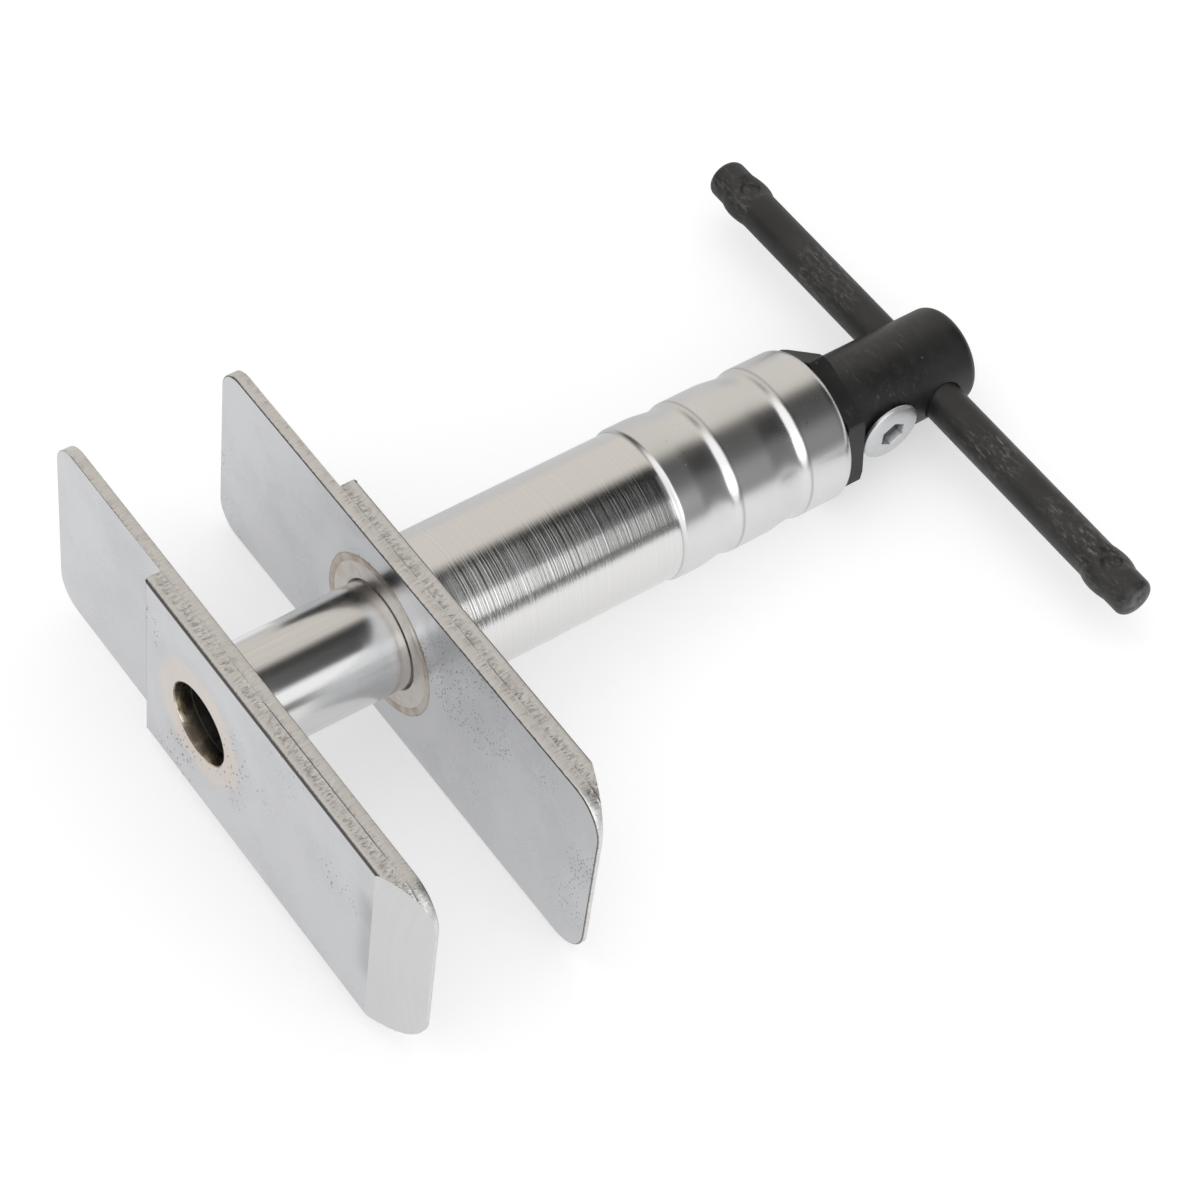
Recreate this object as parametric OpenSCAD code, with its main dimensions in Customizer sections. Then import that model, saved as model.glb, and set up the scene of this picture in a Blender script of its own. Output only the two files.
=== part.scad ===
// Brake caliper piston tool: a screw-driven spreader with two pressing plates.
// The tool axis is X. The front plate's outer face is at x = 0, and the handle is at the far +X end.
// The plates stand upright: their length runs along Y and their width along Z.

/* [Plates] */
// Width of both plates
plate_width = 45; // [40:0.5:60]
// From the tool axis to the thin stepped end
plate_far_reach = 55; // [48:0.5:70]
// From the tool axis to the bevelled end
plate_near_reach = 67.5; // [60:0.5:80]
// Thickness of the full-length plate
long_plate_t = 2.5; // [2:0.1:4]
// Thickness of the shorter plate laid on its outer side
backing_plate_t = 3.4; // [2.5:0.1:5]
// From the tool axis to the square step where the backing plate ends
backing_far_reach = 18.5; // [18:0.5:30]
// Corner radius at the thin stepped end
far_corner_r = 6; // [3:0.5:10]
// Corner radius at the bevelled end
near_corner_r = 8; // [4:0.5:12]
// Length of the ground bevel
bevel_length = 11.5; // [6:0.5:16]
// Thickness left at the tip of the bevel
bevel_tip_t = 0.9; // [0.5:0.1:1.5]
// Distance between the inner faces of the plates as they stand
plate_gap = 33.2; // [25:0.1:36]
// Diameter of the open hole in the front backing plate
front_hole_d = 16.8; // [12:0.1:17]

/* [Ram] */
// Outside diameter of the ram tube
ram_d = 22; // [21:0.1:24]
// Wall of the ram tube
ram_wall_t = 2.3; // [1.8:0.1:2.6]
// Length of the ram that stands in the barrel, drive nut flange included
ram_engagement = 24.7; // [20:0.1:25]
// Radial width of the weld rings
weld_w = 0.9; // [0.5:0.1:1.5]
// Length of the drive nut inside the tube
nut_body_length = 13; // [8:0.5:20]
// Thickness of the drive nut's flange
nut_flange_t = 3; // [2:0.1:4]

/* [Barrel] */
// Diameter of the turned front part
barrel_front_d = 30.8; // [29:0.1:33]
// Diameter of the rear part
barrel_rear_d = 31.9; // [31:0.1:34]
// Length of the turned front part
turned_length = 58.9; // [50:0.1:62]
// Length of the shoulder between the two parts
shoulder_length = 2.6; // [1:0.1:4]
// From the end of the shoulder to the deepest point of the front crimp
front_crimp_from_shoulder = 9.6; // [8:0.1:12]
// From the front crimp to the rear crimp
crimp_spacing = 16.6; // [12:0.1:20]
// From the deepest point of the rear crimp to the rim
rim_from_rear_crimp = 13; // [9:0.1:16]
// Depth of each rolled crimp
crimp_depth = 0.6; // [0.3:0.05:0.8]
// Length of a crimp's gentle side
crimp_lead = 6.5; // [4:0.1:9]
// Length of a crimp's steep side
crimp_rise = 2.2; // [1.2:0.1:3]
// Radius of the rounded rim
rim_r = 2.2; // [1:0.1:3]
// Radial step from the ram's bore to the rear counterbore
counterbore_step = 1.25; // [0.8:0.05:1.8]

/* [End nut] */
// Hexagon across flats
hex_across_flats = 26.5; // [25:0.1:30]
// Thickness of the hexagon
hex_t = 4.2; // [3:0.1:8]
// Turn of the hexagon about the tool axis
hex_turn = 21; // [0:1:59]
// Radial depth of the chamfer on the hexagon's rear corners
hex_chamfer = 0.8; // [0.3:0.1:1.5]
// How far the shank reaches past the front crimp
shank_past_crimp = 3.9; // [2.5:0.1:6]

/* [Spindle] */
// Outside diameter of the drive thread
thread_d = 12; // [10:0.1:13]
// Diameter of the tail that carries the hub
tail_d = 11.5; // [9:0.1:12]
// Diameter of the thrust collar
collar_d = 21; // [18:0.1:22]
// Thickness of the thrust collar
collar_t = 3.5; // [2.5:0.1:4]
// How far the spindle's tip stands behind the rear plate's inner face
tip_setback = 3; // [1:0.5:6]
// Chamfer of the spindle's tip
tip_chamfer = 1.2; // [0.5:0.1:2]

/* [Thrust bearing] */
// Thickness of a race
race_t = 1.2; // [0.8:0.1:1.6]
// Diameter of a ball
ball_d = 3.2; // [2.5:0.1:3.5]
// Number of balls
ball_count = 12; // [8:1:13]
// Thickness of the cage
cage_t = 1.4; // [1:0.1:2]
// Width of the cage inside and outside its balls
cage_edge = 0.5; // [0.3:0.05:0.7]
// Radial gap between the cage and the tail
cage_tail_gap = 0.75; // [0.3:0.05:1]
// Width of a race outside its balls
race_edge = 0.4; // [0.2:0.05:0.7]

/* [Hub and screw] */
// Diameter of the hub
hub_d = 20.5; // [19:0.1:24]
// Rounding of the hub's free end
hub_end_r = 2.2; // [1:0.1:3]
// Chamfer at the hub's front end
hub_front_chamfer = 0.6; // [0.2:0.1:1]
// Depth of the hub's socket for the tail
hub_socket_depth = 16; // [13.5:0.1:20]
// Solid web between the socket and the bar's hole
hub_web_t = 2.2; // [1:0.1:6]
// From the hub's front face to the screw axis
screw_from_front = 8.6; // [7.6:0.1:9]
// Diameter of the screw's head
screw_head_d = 13.2; // [12:0.1:15]
// Height of the screw's head
screw_head_h = 1.4; // [1:0.1:2.2]
// Height of the upright edge under the head's dome
screw_edge_h = 0.6; // [0.3:0.1:0.8]
// Diameter of the screw's shank
screw_d = 8; // [6:0.1:8.4]
// Length of the screw's shank
screw_length = 9; // [7:0.1:10]
// Across flats of the socket
socket_across_flats = 5; // [4:0.1:6]
// Depth of the socket
socket_depth = 2.6; // [2:0.1:3]
// Flat land round the socket
socket_land = 0.5; // [0.2:0.1:1]

/* [Tommy bar] */
// Diameter of the bar
bar_d = 8.5; // [7:0.1:10]
// Length of the bar
bar_length = 134; // [110:1:160]
// How far the bar's middle stands from the tool axis
bar_shift = -3.3; // [-10:0.1:10]
// From the hub's free end to the bar axis
bar_from_end = 9.1; // [8:0.1:10]
// Rounding of the bar's ends
bar_end_r = 1.8; // [1:0.1:3]
// Crown of the bar's end faces
bar_end_crown = 0.7; // [0.3:0.1:1.2]
// From the bar's tip to the outer end of an ear
ear_from_tip = 5.9; // [4:0.1:8]
// Length of an ear
ear_length = 6.8; // [5:0.1:9]
// How far an ear stands out of the bar
ear_proud = 0.8; // [0.4:0.05:1.2]
// Thickness of an ear, top to bottom
ear_t = 5.4; // [4:0.1:6]
// Depth of the pinch marks above and below an ear
pinch_depth = 0.45; // [0.2:0.05:0.8]

/* [Clearances] */
// Radial running clearance of a shaft in its bore
running_clearance = 0.05; // [0.02:0.01:0.1]
// Radial clearance of pieces that are fixed in each other
seat_clearance = 0.02; // [0.01:0.01:0.05]
// Radial clearance of the bar in the hub
bar_clearance = 0.25; // [0.15:0.05:0.4]
// Clearance of a ball in the cage and on each race
ball_clearance = 0.04; // [0.02:0.01:0.1]
// Gap between the end nut and the hub
hub_gap = 0.3; // [0.2:0.1:0.6]

/* [Hidden] */

$fn = 96;
// Length by which a cut runs past the faces it opens
overcut = 1;
// Steps in each rounded stretch of a turned profile
arc_steps = 8;

// Places along the tool axis
stack_t = long_plate_t + backing_plate_t;
front_inner_x = stack_t;
rear_inner_x = front_inner_x + plate_gap;
shoulder_x = rear_inner_x + turned_length;
front_crimp_x = shoulder_x + shoulder_length + front_crimp_from_shoulder;
rear_crimp_x = front_crimp_x + crimp_spacing;
rim_x = rear_crimp_x + rim_from_rear_crimp;
shank_x = front_crimp_x - shank_past_crimp;
hex_rear_x = rim_x + hex_t;
hub_x = hex_rear_x + hub_gap;
screw_x = hub_x + screw_from_front;
bar_x = hub_x + hub_socket_depth + hub_web_t + bar_clearance + bar_d / 2;
hub_end_x = bar_x + bar_from_end;
rear_race_x = shank_x - race_t;
ball_x = rear_race_x - ball_clearance - ball_d / 2;
front_race_x = ball_x - ball_d / 2 - ball_clearance - race_t;
collar_x = front_race_x - collar_t;
ram_end_x = rear_inner_x + ram_engagement;
tube_end_x = ram_end_x - nut_flange_t;
tip_x = rear_inner_x + tip_setback;
tail_end_x = hub_x + hub_socket_depth - overcut / 2;

// Radii that several pieces share
ram_r = ram_d / 2;
ram_bore_r = ram_r - ram_wall_t;
barrel_front_r = barrel_front_d / 2;
barrel_rear_r = barrel_rear_d / 2;
barrel_bore_r = ram_r + running_clearance;
counterbore_r = barrel_bore_r + counterbore_step;
shank_r = counterbore_r - seat_clearance;
cage_inner_r = tail_d / 2 + cage_tail_gap;
ball_circle_r = cage_inner_r + cage_edge + ball_d / 2;
cage_outer_r = ball_circle_r + ball_d / 2 + cage_edge;
race_outer_r = ball_circle_r + ball_d / 2 + race_edge;
race_inner_r = tail_d / 2 + running_clearance;
nut_thread_r = thread_d / 2 + running_clearance;
hub_r = hub_d / 2;
bar_r = bar_d / 2;
screw_hole_r = screw_d / 2 + seat_clearance;
hub_socket_r = tail_d / 2 + seat_clearance;
// Share of the wall's crimp that reaches its inside
crimp_inside_share = 0.7;
inner_crimp_depth = crimp_depth * crimp_inside_share;

// Puts a shape drawn round Z on the tool axis, with its own X along Y
module along_axis(x = 0) {
    translate([x, 0, 0])
        rotate([90, 0, 90])
            children();
}

// A ring or disc on the tool axis
module ring(x, length, outer_r, inner_r = 0) {
    along_axis(x)
        difference() {
            cylinder(h = length, r = outer_r);
            if (inner_r > 0)
                translate([0, 0, -overcut])
                    cylinder(h = length + 2 * overcut, r = inner_r);
        }
}

// Outline of a plate with round corners at both ends
module rounded_outline(near, far, near_r, far_r) {
    half = plate_width / 2;
    translate([-near + near_r, -half])
        square([near + far - near_r - far_r, plate_width]);
    translate([-near, near_r - half])
        square([near_r, plate_width - 2 * near_r]);
    translate([far - far_r, far_r - half])
        square([far_r, plate_width - 2 * far_r]);
    for (side = [-1, 1]) {
        translate([near_r - near, side * (half - near_r)])
            circle(r = near_r);
        translate([far - far_r, side * (half - far_r)])
            circle(r = far_r);
    }
}

// Outline of a backing plate, square where it ends in the step
module backing_outline() {
    half = plate_width / 2;
    translate([near_corner_r - plate_near_reach, -half])
        square([plate_near_reach - near_corner_r + backing_far_reach, plate_width]);
    translate([-plate_near_reach, near_corner_r - half])
        square([near_corner_r, plate_width - 2 * near_corner_r]);
    for (side = [-1, 1])
        translate([near_corner_r - plate_near_reach, side * (half - near_corner_r)])
            circle(r = near_corner_r);
}

// What the grinder takes off the outer side of a plate stack, which grows from x = 0
module bevel_waste() {
    bevel_rise = (stack_t - bevel_tip_t) / bevel_length;
    translate([0, 0, -plate_width / 2 - overcut])
        linear_extrude(plate_width + 2 * overcut)
            polygon([
                [bevel_tip_t - bevel_rise * overcut, -plate_near_reach - overcut],
                [stack_t + bevel_rise * overcut, -plate_near_reach + bevel_length + overcut],
                [stack_t + 2 * overcut, -plate_near_reach + bevel_length + overcut],
                [stack_t + 2 * overcut, -plate_near_reach - overcut]
            ]);
}

// Chamfer of a plate hole that a weld ring fills, opening at x = 0
module weld_seat(tube_r) {
    along_axis()
        translate([0, 0, -overcut])
            cylinder(
                h = weld_w + overcut,
                r1 = tube_r + weld_w + seat_clearance + overcut,
                r2 = tube_r + seat_clearance
            );
}

// Full-length plate with its inner face at x = 0, bored for a tube
module long_plate(tube_r) {
    difference() {
        along_axis()
            linear_extrude(long_plate_t)
                rounded_outline(plate_near_reach, plate_far_reach, near_corner_r, far_corner_r);
        bevel_waste();
        along_axis(-overcut)
            cylinder(h = stack_t + 2 * overcut, r = tube_r + seat_clearance);
        weld_seat(tube_r);
    }
}

// Backing plate on the outer side of a long plate whose inner face is at x = 0
module backing_plate(hole_r) {
    difference() {
        along_axis(long_plate_t)
            linear_extrude(backing_plate_t)
                backing_outline();
        bevel_waste();
        along_axis(long_plate_t - overcut)
            cylinder(h = backing_plate_t + 2 * overcut, r = hole_r);
    }
}

// Weld ring ground flush at x = 0, filling the seat round a tube
module weld_ring(tube_r) {
    rotate([90, 0, 90])
        rotate_extrude()
            polygon([
                [tube_r + seat_clearance, 0],
                [tube_r + weld_w, 0],
                [tube_r + seat_clearance, weld_w - seat_clearance]
            ]);
}

// Turns a stack that grows towards +X into the front one, which grows towards the origin
module front_side() {
    translate([front_inner_x, 0, 0])
        mirror([1, 0, 0])
            children();
}

module front_long_plate() {
    color("silver")
        front_side()
            long_plate(ram_r);
}

module front_backing_plate() {
    color("silver")
        front_side()
            backing_plate(front_hole_d / 2);
}

module front_weld() {
    color("rosybrown")
        front_side()
            weld_ring(ram_r);
}

module rear_long_plate() {
    color("silver")
        translate([rear_inner_x, 0, 0])
            long_plate(barrel_front_r);
}

module rear_backing_plate() {
    color("silver")
        translate([rear_inner_x, 0, 0])
            backing_plate(barrel_front_r + seat_clearance);
}

module rear_weld() {
    color("rosybrown")
        translate([rear_inner_x, 0, 0])
            weld_ring(barrel_front_r);
}

// The tube stands against the front backing plate, in the long plate's bore
module ram_tube() {
    color("gainsboro")
        ring(backing_plate_t, tube_end_x - backing_plate_t, ram_r, ram_bore_r);
}

// Flanged nut in the rear end of the ram tube
module drive_nut() {
    color("darkgoldenrod")
        difference() {
            union() {
                ring(tube_end_x, nut_flange_t, ram_r - seat_clearance);
                ring(tube_end_x - nut_body_length, nut_body_length + overcut, ram_bore_r - seat_clearance);
            }
            along_axis(tube_end_x - nut_body_length - overcut)
                cylinder(h = nut_body_length + nut_flange_t + 2 * overcut, r = nut_thread_r);
        }
}

// Height of one side of a smooth bump: 1 at its middle and 0 at its foot
function half_bump(from_middle, length) = (1 + cos(180 * from_middle / length)) / 2;

// How far a crimp draws the wall in at a place along the axis
function crimp_at(x, middle) =
    x < middle
        ? (x < middle - crimp_lead ? 0 : half_bump(middle - x, crimp_lead))
        : (x > middle + crimp_rise ? 0 : half_bump(x - middle, crimp_rise));

// Places along the axis that draw one crimp
function crimp_places(middle) = [
    for (i = [0 : arc_steps]) middle - crimp_lead * (1 - i / arc_steps),
    for (i = [1 : arc_steps]) middle + crimp_rise * i / arc_steps
];

// The barrel's wall in a turned profile of radius and place along the axis
function wall_points(radius, depth) = [
    for (middle = [front_crimp_x, rear_crimp_x])
        for (x = crimp_places(middle))
            [radius - depth * crimp_at(x, middle), x]
];

function reversed(list) = [for (i = [len(list) - 1 : -1 : 0]) list[i]];

// Soft shoulder between the turned front part and the rear part
function shoulder_points() = [
    for (i = [0 : arc_steps])
        let (share = i / arc_steps)
        [
            barrel_front_r + (barrel_rear_r - barrel_front_r) * half_bump(1 - share, 1),
            shoulder_x + shoulder_length * share
        ]
];

// Quarter round at the rear rim
function rim_points() = [
    for (i = [0 : arc_steps])
        let (angle = 90 * i / arc_steps)
        [barrel_rear_r - rim_r + rim_r * cos(angle), rim_x - rim_r + rim_r * sin(angle)]
];

module outer_barrel() {
    color("lightgray")
        rotate([90, 0, 90])
            rotate_extrude()
                polygon(concat(
                    [[barrel_bore_r, rear_inner_x], [barrel_front_r, rear_inner_x]],
                    shoulder_points(),
                    wall_points(barrel_rear_r, crimp_depth),
                    rim_points(),
                    [[counterbore_r, rim_x]],
                    reversed(wall_points(counterbore_r, inner_crimp_depth)),
                    [[counterbore_r, collar_x - overcut], [barrel_bore_r, collar_x - overcut]]
                ));
}

// Hexagon with its corners turned off at the rear face, on a shank grooved to take the crimps
module hex_end_nut() {
    hex_corner_r = hex_across_flats / 2 / cos(30);
    blank_r = hex_corner_r + overcut;
    chamfer_h = (hex_chamfer + overcut) * tan(30);
    color("#2b2b2b")
        difference() {
            union() {
                intersection() {
                    along_axis(rim_x)
                        rotate([0, 0, hex_turn])
                            cylinder(h = hex_t, r = hex_corner_r, $fn = 6);
                    rotate([90, 0, 90])
                        rotate_extrude()
                            polygon([
                                [0, rim_x],
                                [blank_r, rim_x],
                                [blank_r, hex_rear_x - chamfer_h],
                                [hex_corner_r - hex_chamfer, hex_rear_x],
                                [0, hex_rear_x]
                            ]);
                }
                rotate([90, 0, 90])
                    rotate_extrude()
                        polygon(concat(
                            [[0, shank_x]],
                            [[shank_r - inner_crimp_depth * crimp_at(shank_x, front_crimp_x), shank_x]],
                            [for (point = wall_points(shank_r, inner_crimp_depth)) if (point[1] > shank_x) point],
                            [[shank_r, rim_x + overcut], [0, rim_x + overcut]]
                        ));
            }
            along_axis(shank_x - overcut)
                cylinder(h = hex_rear_x - shank_x + 2 * overcut, r = tail_d / 2 + running_clearance);
        }
}

module rear_race() {
    color("gray")
        ring(rear_race_x, race_t, race_outer_r, race_inner_r);
}

module front_race() {
    color("gray")
        ring(front_race_x, race_t, race_outer_r, tail_d / 2 + seat_clearance);
}

// Copies a shape to each ball's place
module at_each_ball() {
    for (i = [0 : ball_count - 1])
        along_axis(ball_x)
            rotate([0, 0, 360 * i / ball_count])
                translate([ball_circle_r, 0, 0])
                    children();
}

module thrust_balls() {
    color("whitesmoke")
        at_each_ball()
            sphere(d = ball_d, $fn = 32);
}

module ball_cage() {
    color("peru")
        difference() {
            ring(ball_x - cage_t / 2, cage_t, cage_outer_r, cage_inner_r);
            at_each_ball()
                cylinder(h = ball_d, d = ball_d + 2 * ball_clearance, center = true);
        }
}

module drive_spindle() {
    color("dimgray")
        difference() {
            rotate([90, 0, 90])
                rotate_extrude()
                    polygon([
                        [0, tip_x],
                        [thread_d / 2 - tip_chamfer, tip_x],
                        [thread_d / 2, tip_x + tip_chamfer],
                        [thread_d / 2, collar_x],
                        [collar_d / 2, collar_x],
                        [collar_d / 2, collar_x + collar_t],
                        [tail_d / 2, collar_x + collar_t],
                        [tail_d / 2, tail_end_x],
                        [0, tail_end_x]
                    ]);
            translate([screw_x, 0, 0])
                rotate([90, 0, 0])
                    translate([0, 0, hub_r - screw_length - overcut])
                        cylinder(h = hub_r + overcut, r = screw_hole_r);
        }
}

// Round hub with a socket for the spindle's tail, a screw hole and the bar's cross hole
module handle_hub() {
    color("#2b2b2b")
        difference() {
            rotate([90, 0, 90])
                rotate_extrude()
                    polygon(concat(
                        [
                            [0, hub_x],
                            [hub_r - hub_front_chamfer, hub_x],
                            [hub_r, hub_x + hub_front_chamfer]
                        ],
                        [
                            for (i = [0 : arc_steps])
                                let (angle = 90 * i / arc_steps)
                                [
                                    hub_r - hub_end_r + hub_end_r * cos(angle),
                                    hub_end_x - hub_end_r + hub_end_r * sin(angle)
                                ]
                        ],
                        [[0, hub_end_x]]
                    ));
            along_axis(hub_x - overcut)
                cylinder(h = hub_socket_depth + overcut, r = hub_socket_r);
            translate([screw_x, 0, 0])
                rotate([90, 0, 0])
                    cylinder(h = hub_r + overcut, r = screw_hole_r);
            translate([bar_x, 0, 0])
                rotate([90, 0, 0])
                    cylinder(h = 2 * hub_r + 2 * overcut, r = bar_r + bar_clearance, center = true);
        }
}

// Low-head socket screw, square to the tool axis, with its head on the bevelled plates' side
module hub_screw() {
    head_r = screw_head_d / 2;
    dome_h = screw_head_h - screw_edge_h;
    crown_r = socket_across_flats / 2 / cos(30) + socket_land;
    color("gainsboro")
        translate([screw_x, 0, 0])
            rotate([90, 0, 0])
                translate([0, 0, hub_r])
                    difference() {
                        rotate_extrude()
                            polygon(concat(
                                [
                                    [0, -screw_length],
                                    [screw_d / 2, -screw_length],
                                    [screw_d / 2, 0],
                                    [head_r, 0]
                                ],
                                [
                                    for (i = [0 : arc_steps])
                                        let (angle = 90 * i / arc_steps)
                                        [
                                            crown_r + (head_r - crown_r) * cos(angle),
                                            screw_edge_h + dome_h * sin(angle)
                                        ]
                                ],
                                [[0, screw_head_h]]
                            ));
                        translate([0, 0, screw_head_h - socket_depth])
                            cylinder(
                                h = socket_depth + overcut,
                                r = socket_across_flats / 2 / cos(30),
                                $fn = 6
                            );
                    }
}

// Half of the bar's turned profile, from its middle to one tip
function bar_profile() = let (half = bar_length / 2) concat(
    [[0, 0], [bar_r, 0]],
    [
        for (i = [0 : arc_steps])
            let (angle = 90 * i / arc_steps)
            [
                bar_r - bar_end_r + bar_end_r * cos(angle),
                half - bar_end_crown - bar_end_r + bar_end_r * sin(angle)
            ]
    ],
    [[0, half]]
);

// Lens-shaped ear pinched out of the bar, centred on the origin with the bar along Y
module ear() {
    lens_r = (ear_length * ear_length / 4 + ear_proud * ear_proud) / (2 * ear_proud);
    lens_shift = bar_r + ear_proud - lens_r;
    intersection_for (side = [-1, 1])
        translate([side * lens_shift, 0, 0])
            cylinder(h = ear_t, r = lens_r, center = true);
}

// Pinch marks that the swage leaves above and below an ear
module pinch_marks() {
    mark_r = ear_length / 2;
    for (side = [-1, 1])
        translate([0, 0, side * (bar_r - pinch_depth + mark_r)])
            rotate([0, 90, 0])
                cylinder(h = 2 * bar_r, r = mark_r, center = true);
}

module tommy_bar() {
    ear_y = bar_length / 2 - ear_from_tip - ear_length / 2;
    color("#2b2b2b")
        translate([bar_x, bar_shift, 0])
            difference() {
                union() {
                    for (side = [-1, 1])
                        rotate([side * 90, 0, 0])
                            rotate_extrude()
                                polygon(bar_profile());
                    for (side = [-1, 1])
                        translate([0, side * ear_y, 0])
                            ear();
                }
                for (side = [-1, 1])
                    translate([0, side * ear_y, 0])
                        pinch_marks();
            }
}

front_long_plate();
front_backing_plate();
front_weld();
ram_tube();
drive_nut();
rear_long_plate();
rear_backing_plate();
rear_weld();
outer_barrel();
hex_end_nut();
rear_race();
thrust_balls();
ball_cage();
front_race();
drive_spindle();
handle_hub();
hub_screw();
tommy_bar();
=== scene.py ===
# %% [markdown]
# # Brake caliper piston tool
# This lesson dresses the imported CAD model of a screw-driven spreader: two stepped plates, a polished ram that
# slides in a crimped barrel, and a black T-handle. The CAD solids fix every size and joint. Blender adds what
# a drawing leaves out: torn edges, turned lines, heat tint and worn oxide.

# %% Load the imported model
import math

import bmesh
import bpy
from mathutils import Matrix, Vector


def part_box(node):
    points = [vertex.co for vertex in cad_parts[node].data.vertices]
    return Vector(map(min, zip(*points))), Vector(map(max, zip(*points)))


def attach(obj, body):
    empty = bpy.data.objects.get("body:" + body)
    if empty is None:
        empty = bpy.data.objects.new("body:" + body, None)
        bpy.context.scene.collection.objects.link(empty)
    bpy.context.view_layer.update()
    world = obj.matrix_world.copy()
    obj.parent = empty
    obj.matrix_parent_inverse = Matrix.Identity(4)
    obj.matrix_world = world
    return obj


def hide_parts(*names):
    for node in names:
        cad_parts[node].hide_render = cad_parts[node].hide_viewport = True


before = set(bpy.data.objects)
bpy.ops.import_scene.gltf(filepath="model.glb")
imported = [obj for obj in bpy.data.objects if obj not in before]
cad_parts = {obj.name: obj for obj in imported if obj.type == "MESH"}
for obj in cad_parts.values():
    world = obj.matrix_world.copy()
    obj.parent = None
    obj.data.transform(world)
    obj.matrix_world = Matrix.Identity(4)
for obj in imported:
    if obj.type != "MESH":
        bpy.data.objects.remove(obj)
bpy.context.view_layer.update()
MM = 0.001

# %% [markdown]
# ## Places
# Every piece of this lesson sits where its solid sits, so the places along the tool come from the solids'
# own boxes. They could be typed in again, but reading them keeps the looks on the solids after a change.

# %% Read the places in millimetres
X, Y, Z = range(3)


def span(node, axis):
    low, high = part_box(node)
    return low[axis] / MM, high[axis] / MM


front_outer_x = span("front_backing_plate", X)[0]
front_inner_x = span("front_long_plate", X)[1]
rear_inner_x = span("rear_long_plate", X)[0]
rear_outer_x = span("rear_backing_plate", X)[1]
stack_t = rear_outer_x - rear_inner_x
long_t = span("rear_long_plate", X)[1] - rear_inner_x
near_y, far_y = span("rear_long_plate", Y)
low_z, high_z = span("rear_long_plate", Z)
step_y = span("rear_backing_plate", Y)[1]
ram_front_x, ram_rear_x = span("ram_tube", X)
rim_x = span("outer_barrel", X)[1]
hex_rear_x = span("hex_end_nut", X)[1]
hub_front_x, hub_end_x = span("handle_hub", X)
tip_x, tail_end_x = span("drive_spindle", X)
ram_r = span("ram_tube", Z)[1]
barrel_rear_r = span("outer_barrel", Z)[1]
hub_r = span("handle_hub", Z)[1]
bar_near_y, bar_far_y = span("tommy_bar", Y)
bar_middle = (bar_near_y + bar_far_y) / 2
bar_half = (bar_far_y - bar_near_y) / 2
bar_x = sum(span("tommy_bar", X)) / 2
bar_r = 4.25
print("plates from", front_outer_x, "to", rear_outer_x, "and barrel rim at", round(rim_x, 2))

# %% [markdown]
# ## Camera
# The photograph looks down on the tool from its front and near side. The camera could be placed by eye, but a
# fit of the plates' edges and the round parts gave its direction, distance and lens, so they are set as they
# are. The tool leans back on its hub, which shows as a small roll of the camera in the tool's own frame.

# %% Set the camera
def put_in_scene(name, data):
    thing = bpy.data.objects.new(name, data)
    bpy.context.scene.collection.objects.link(thing)
    return thing


view_azimuth = math.radians(42.545)
view_elevation = math.radians(51.467)
view_roll = math.radians(8.662)
camera_place = Vector((-204.97, -324.42, 527.38)) * MM
sensor_width = 36
lens = 107.54
nearest_seen = 0.01

level_right = Vector((math.cos(view_azimuth), -math.sin(view_azimuth), 0))
level_up = Vector((
    math.sin(view_azimuth) * math.sin(view_elevation),
    math.cos(view_azimuth) * math.sin(view_elevation),
    math.cos(view_elevation),
))
camera_right = level_right * math.cos(view_roll) + level_up * math.sin(view_roll)
camera_up = level_up * math.cos(view_roll) - level_right * math.sin(view_roll)
camera_back = camera_right.cross(camera_up)

camera_data = bpy.data.cameras.new("photo_camera")
camera_data.sensor_width = sensor_width
camera_data.lens = lens
camera_data.clip_start = nearest_seen
camera = put_in_scene("photo_camera", camera_data)
camera_turn = Matrix((camera_right, camera_up, camera_back)).transposed().to_4x4()
camera.matrix_world = Matrix.Translation(camera_place) @ camera_turn
bpy.context.scene.camera = camera
bpy.context.scene.view_settings.view_transform = "Standard"
print("camera at", [round(c, 3) for c in camera_place])

# %% [markdown]
# ## Node helpers
# Every finish and every shaping tree in this lesson is a node tree built in code. A few short helpers keep
# that readable: they add a node, do arithmetic, take vectors apart and mix colours. Each finds its tree from
# the sockets it is given.

# %% Helpers for nodes and arithmetic
def fill(node, values):
    """Links each value to its socket, or sets it there if it is a plain number, colour or vector."""
    for socket, value in values.items():
        if isinstance(value, bpy.types.NodeSocket):
            node.id_data.links.new(value, node.inputs[socket])
        else:
            node.inputs[socket].default_value = value


def add_node(tree, kind, values=None, **settings):
    node = tree.nodes.new(kind)
    for name, value in settings.items():
        setattr(node, name, value)
    fill(node, values or {})
    return node


def tree_of(values):
    return next(value.id_data for value in values if isinstance(value, bpy.types.NodeSocket))


def calc(operation, *terms):
    node = add_node(tree_of(terms), "ShaderNodeMath", dict(enumerate(terms)), operation=operation)
    return node.outputs[0]


def times(first, *factors):
    for factor in factors:
        first = calc("MULTIPLY", first, factor)
    return first


def plus(first, second):
    return calc("ADD", first, second)


def minus(first, second):
    return calc("SUBTRACT", first, second)


def over(first, second):
    return calc("DIVIDE", first, second)


print("node arithmetic ready")

# %% Helpers for masks, vectors and colours
def mixed(share, low, high):
    """A value that goes from low to high as share goes from 0 to 1."""
    return plus(times(share, high - low), low)


def clamped(value):
    return add_node(value.id_data, "ShaderNodeClamp", {"Value": value}).outputs[0]


def ramp(value, low, high):
    """0 below low, 1 above high and smooth between them; low may be the larger."""
    values = {"Value": value, "From Min": min(low, high), "From Max": max(low, high)}
    values |= {"To Min": float(low > high), "To Max": float(low < high)}
    node = add_node(value.id_data, "ShaderNodeMapRange", values, interpolation_type="SMOOTHSTEP")
    return node.outputs["Result"]


def parts_of(vector):
    return add_node(vector.id_data, "ShaderNodeSeparateXYZ", {0: vector}).outputs


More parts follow.
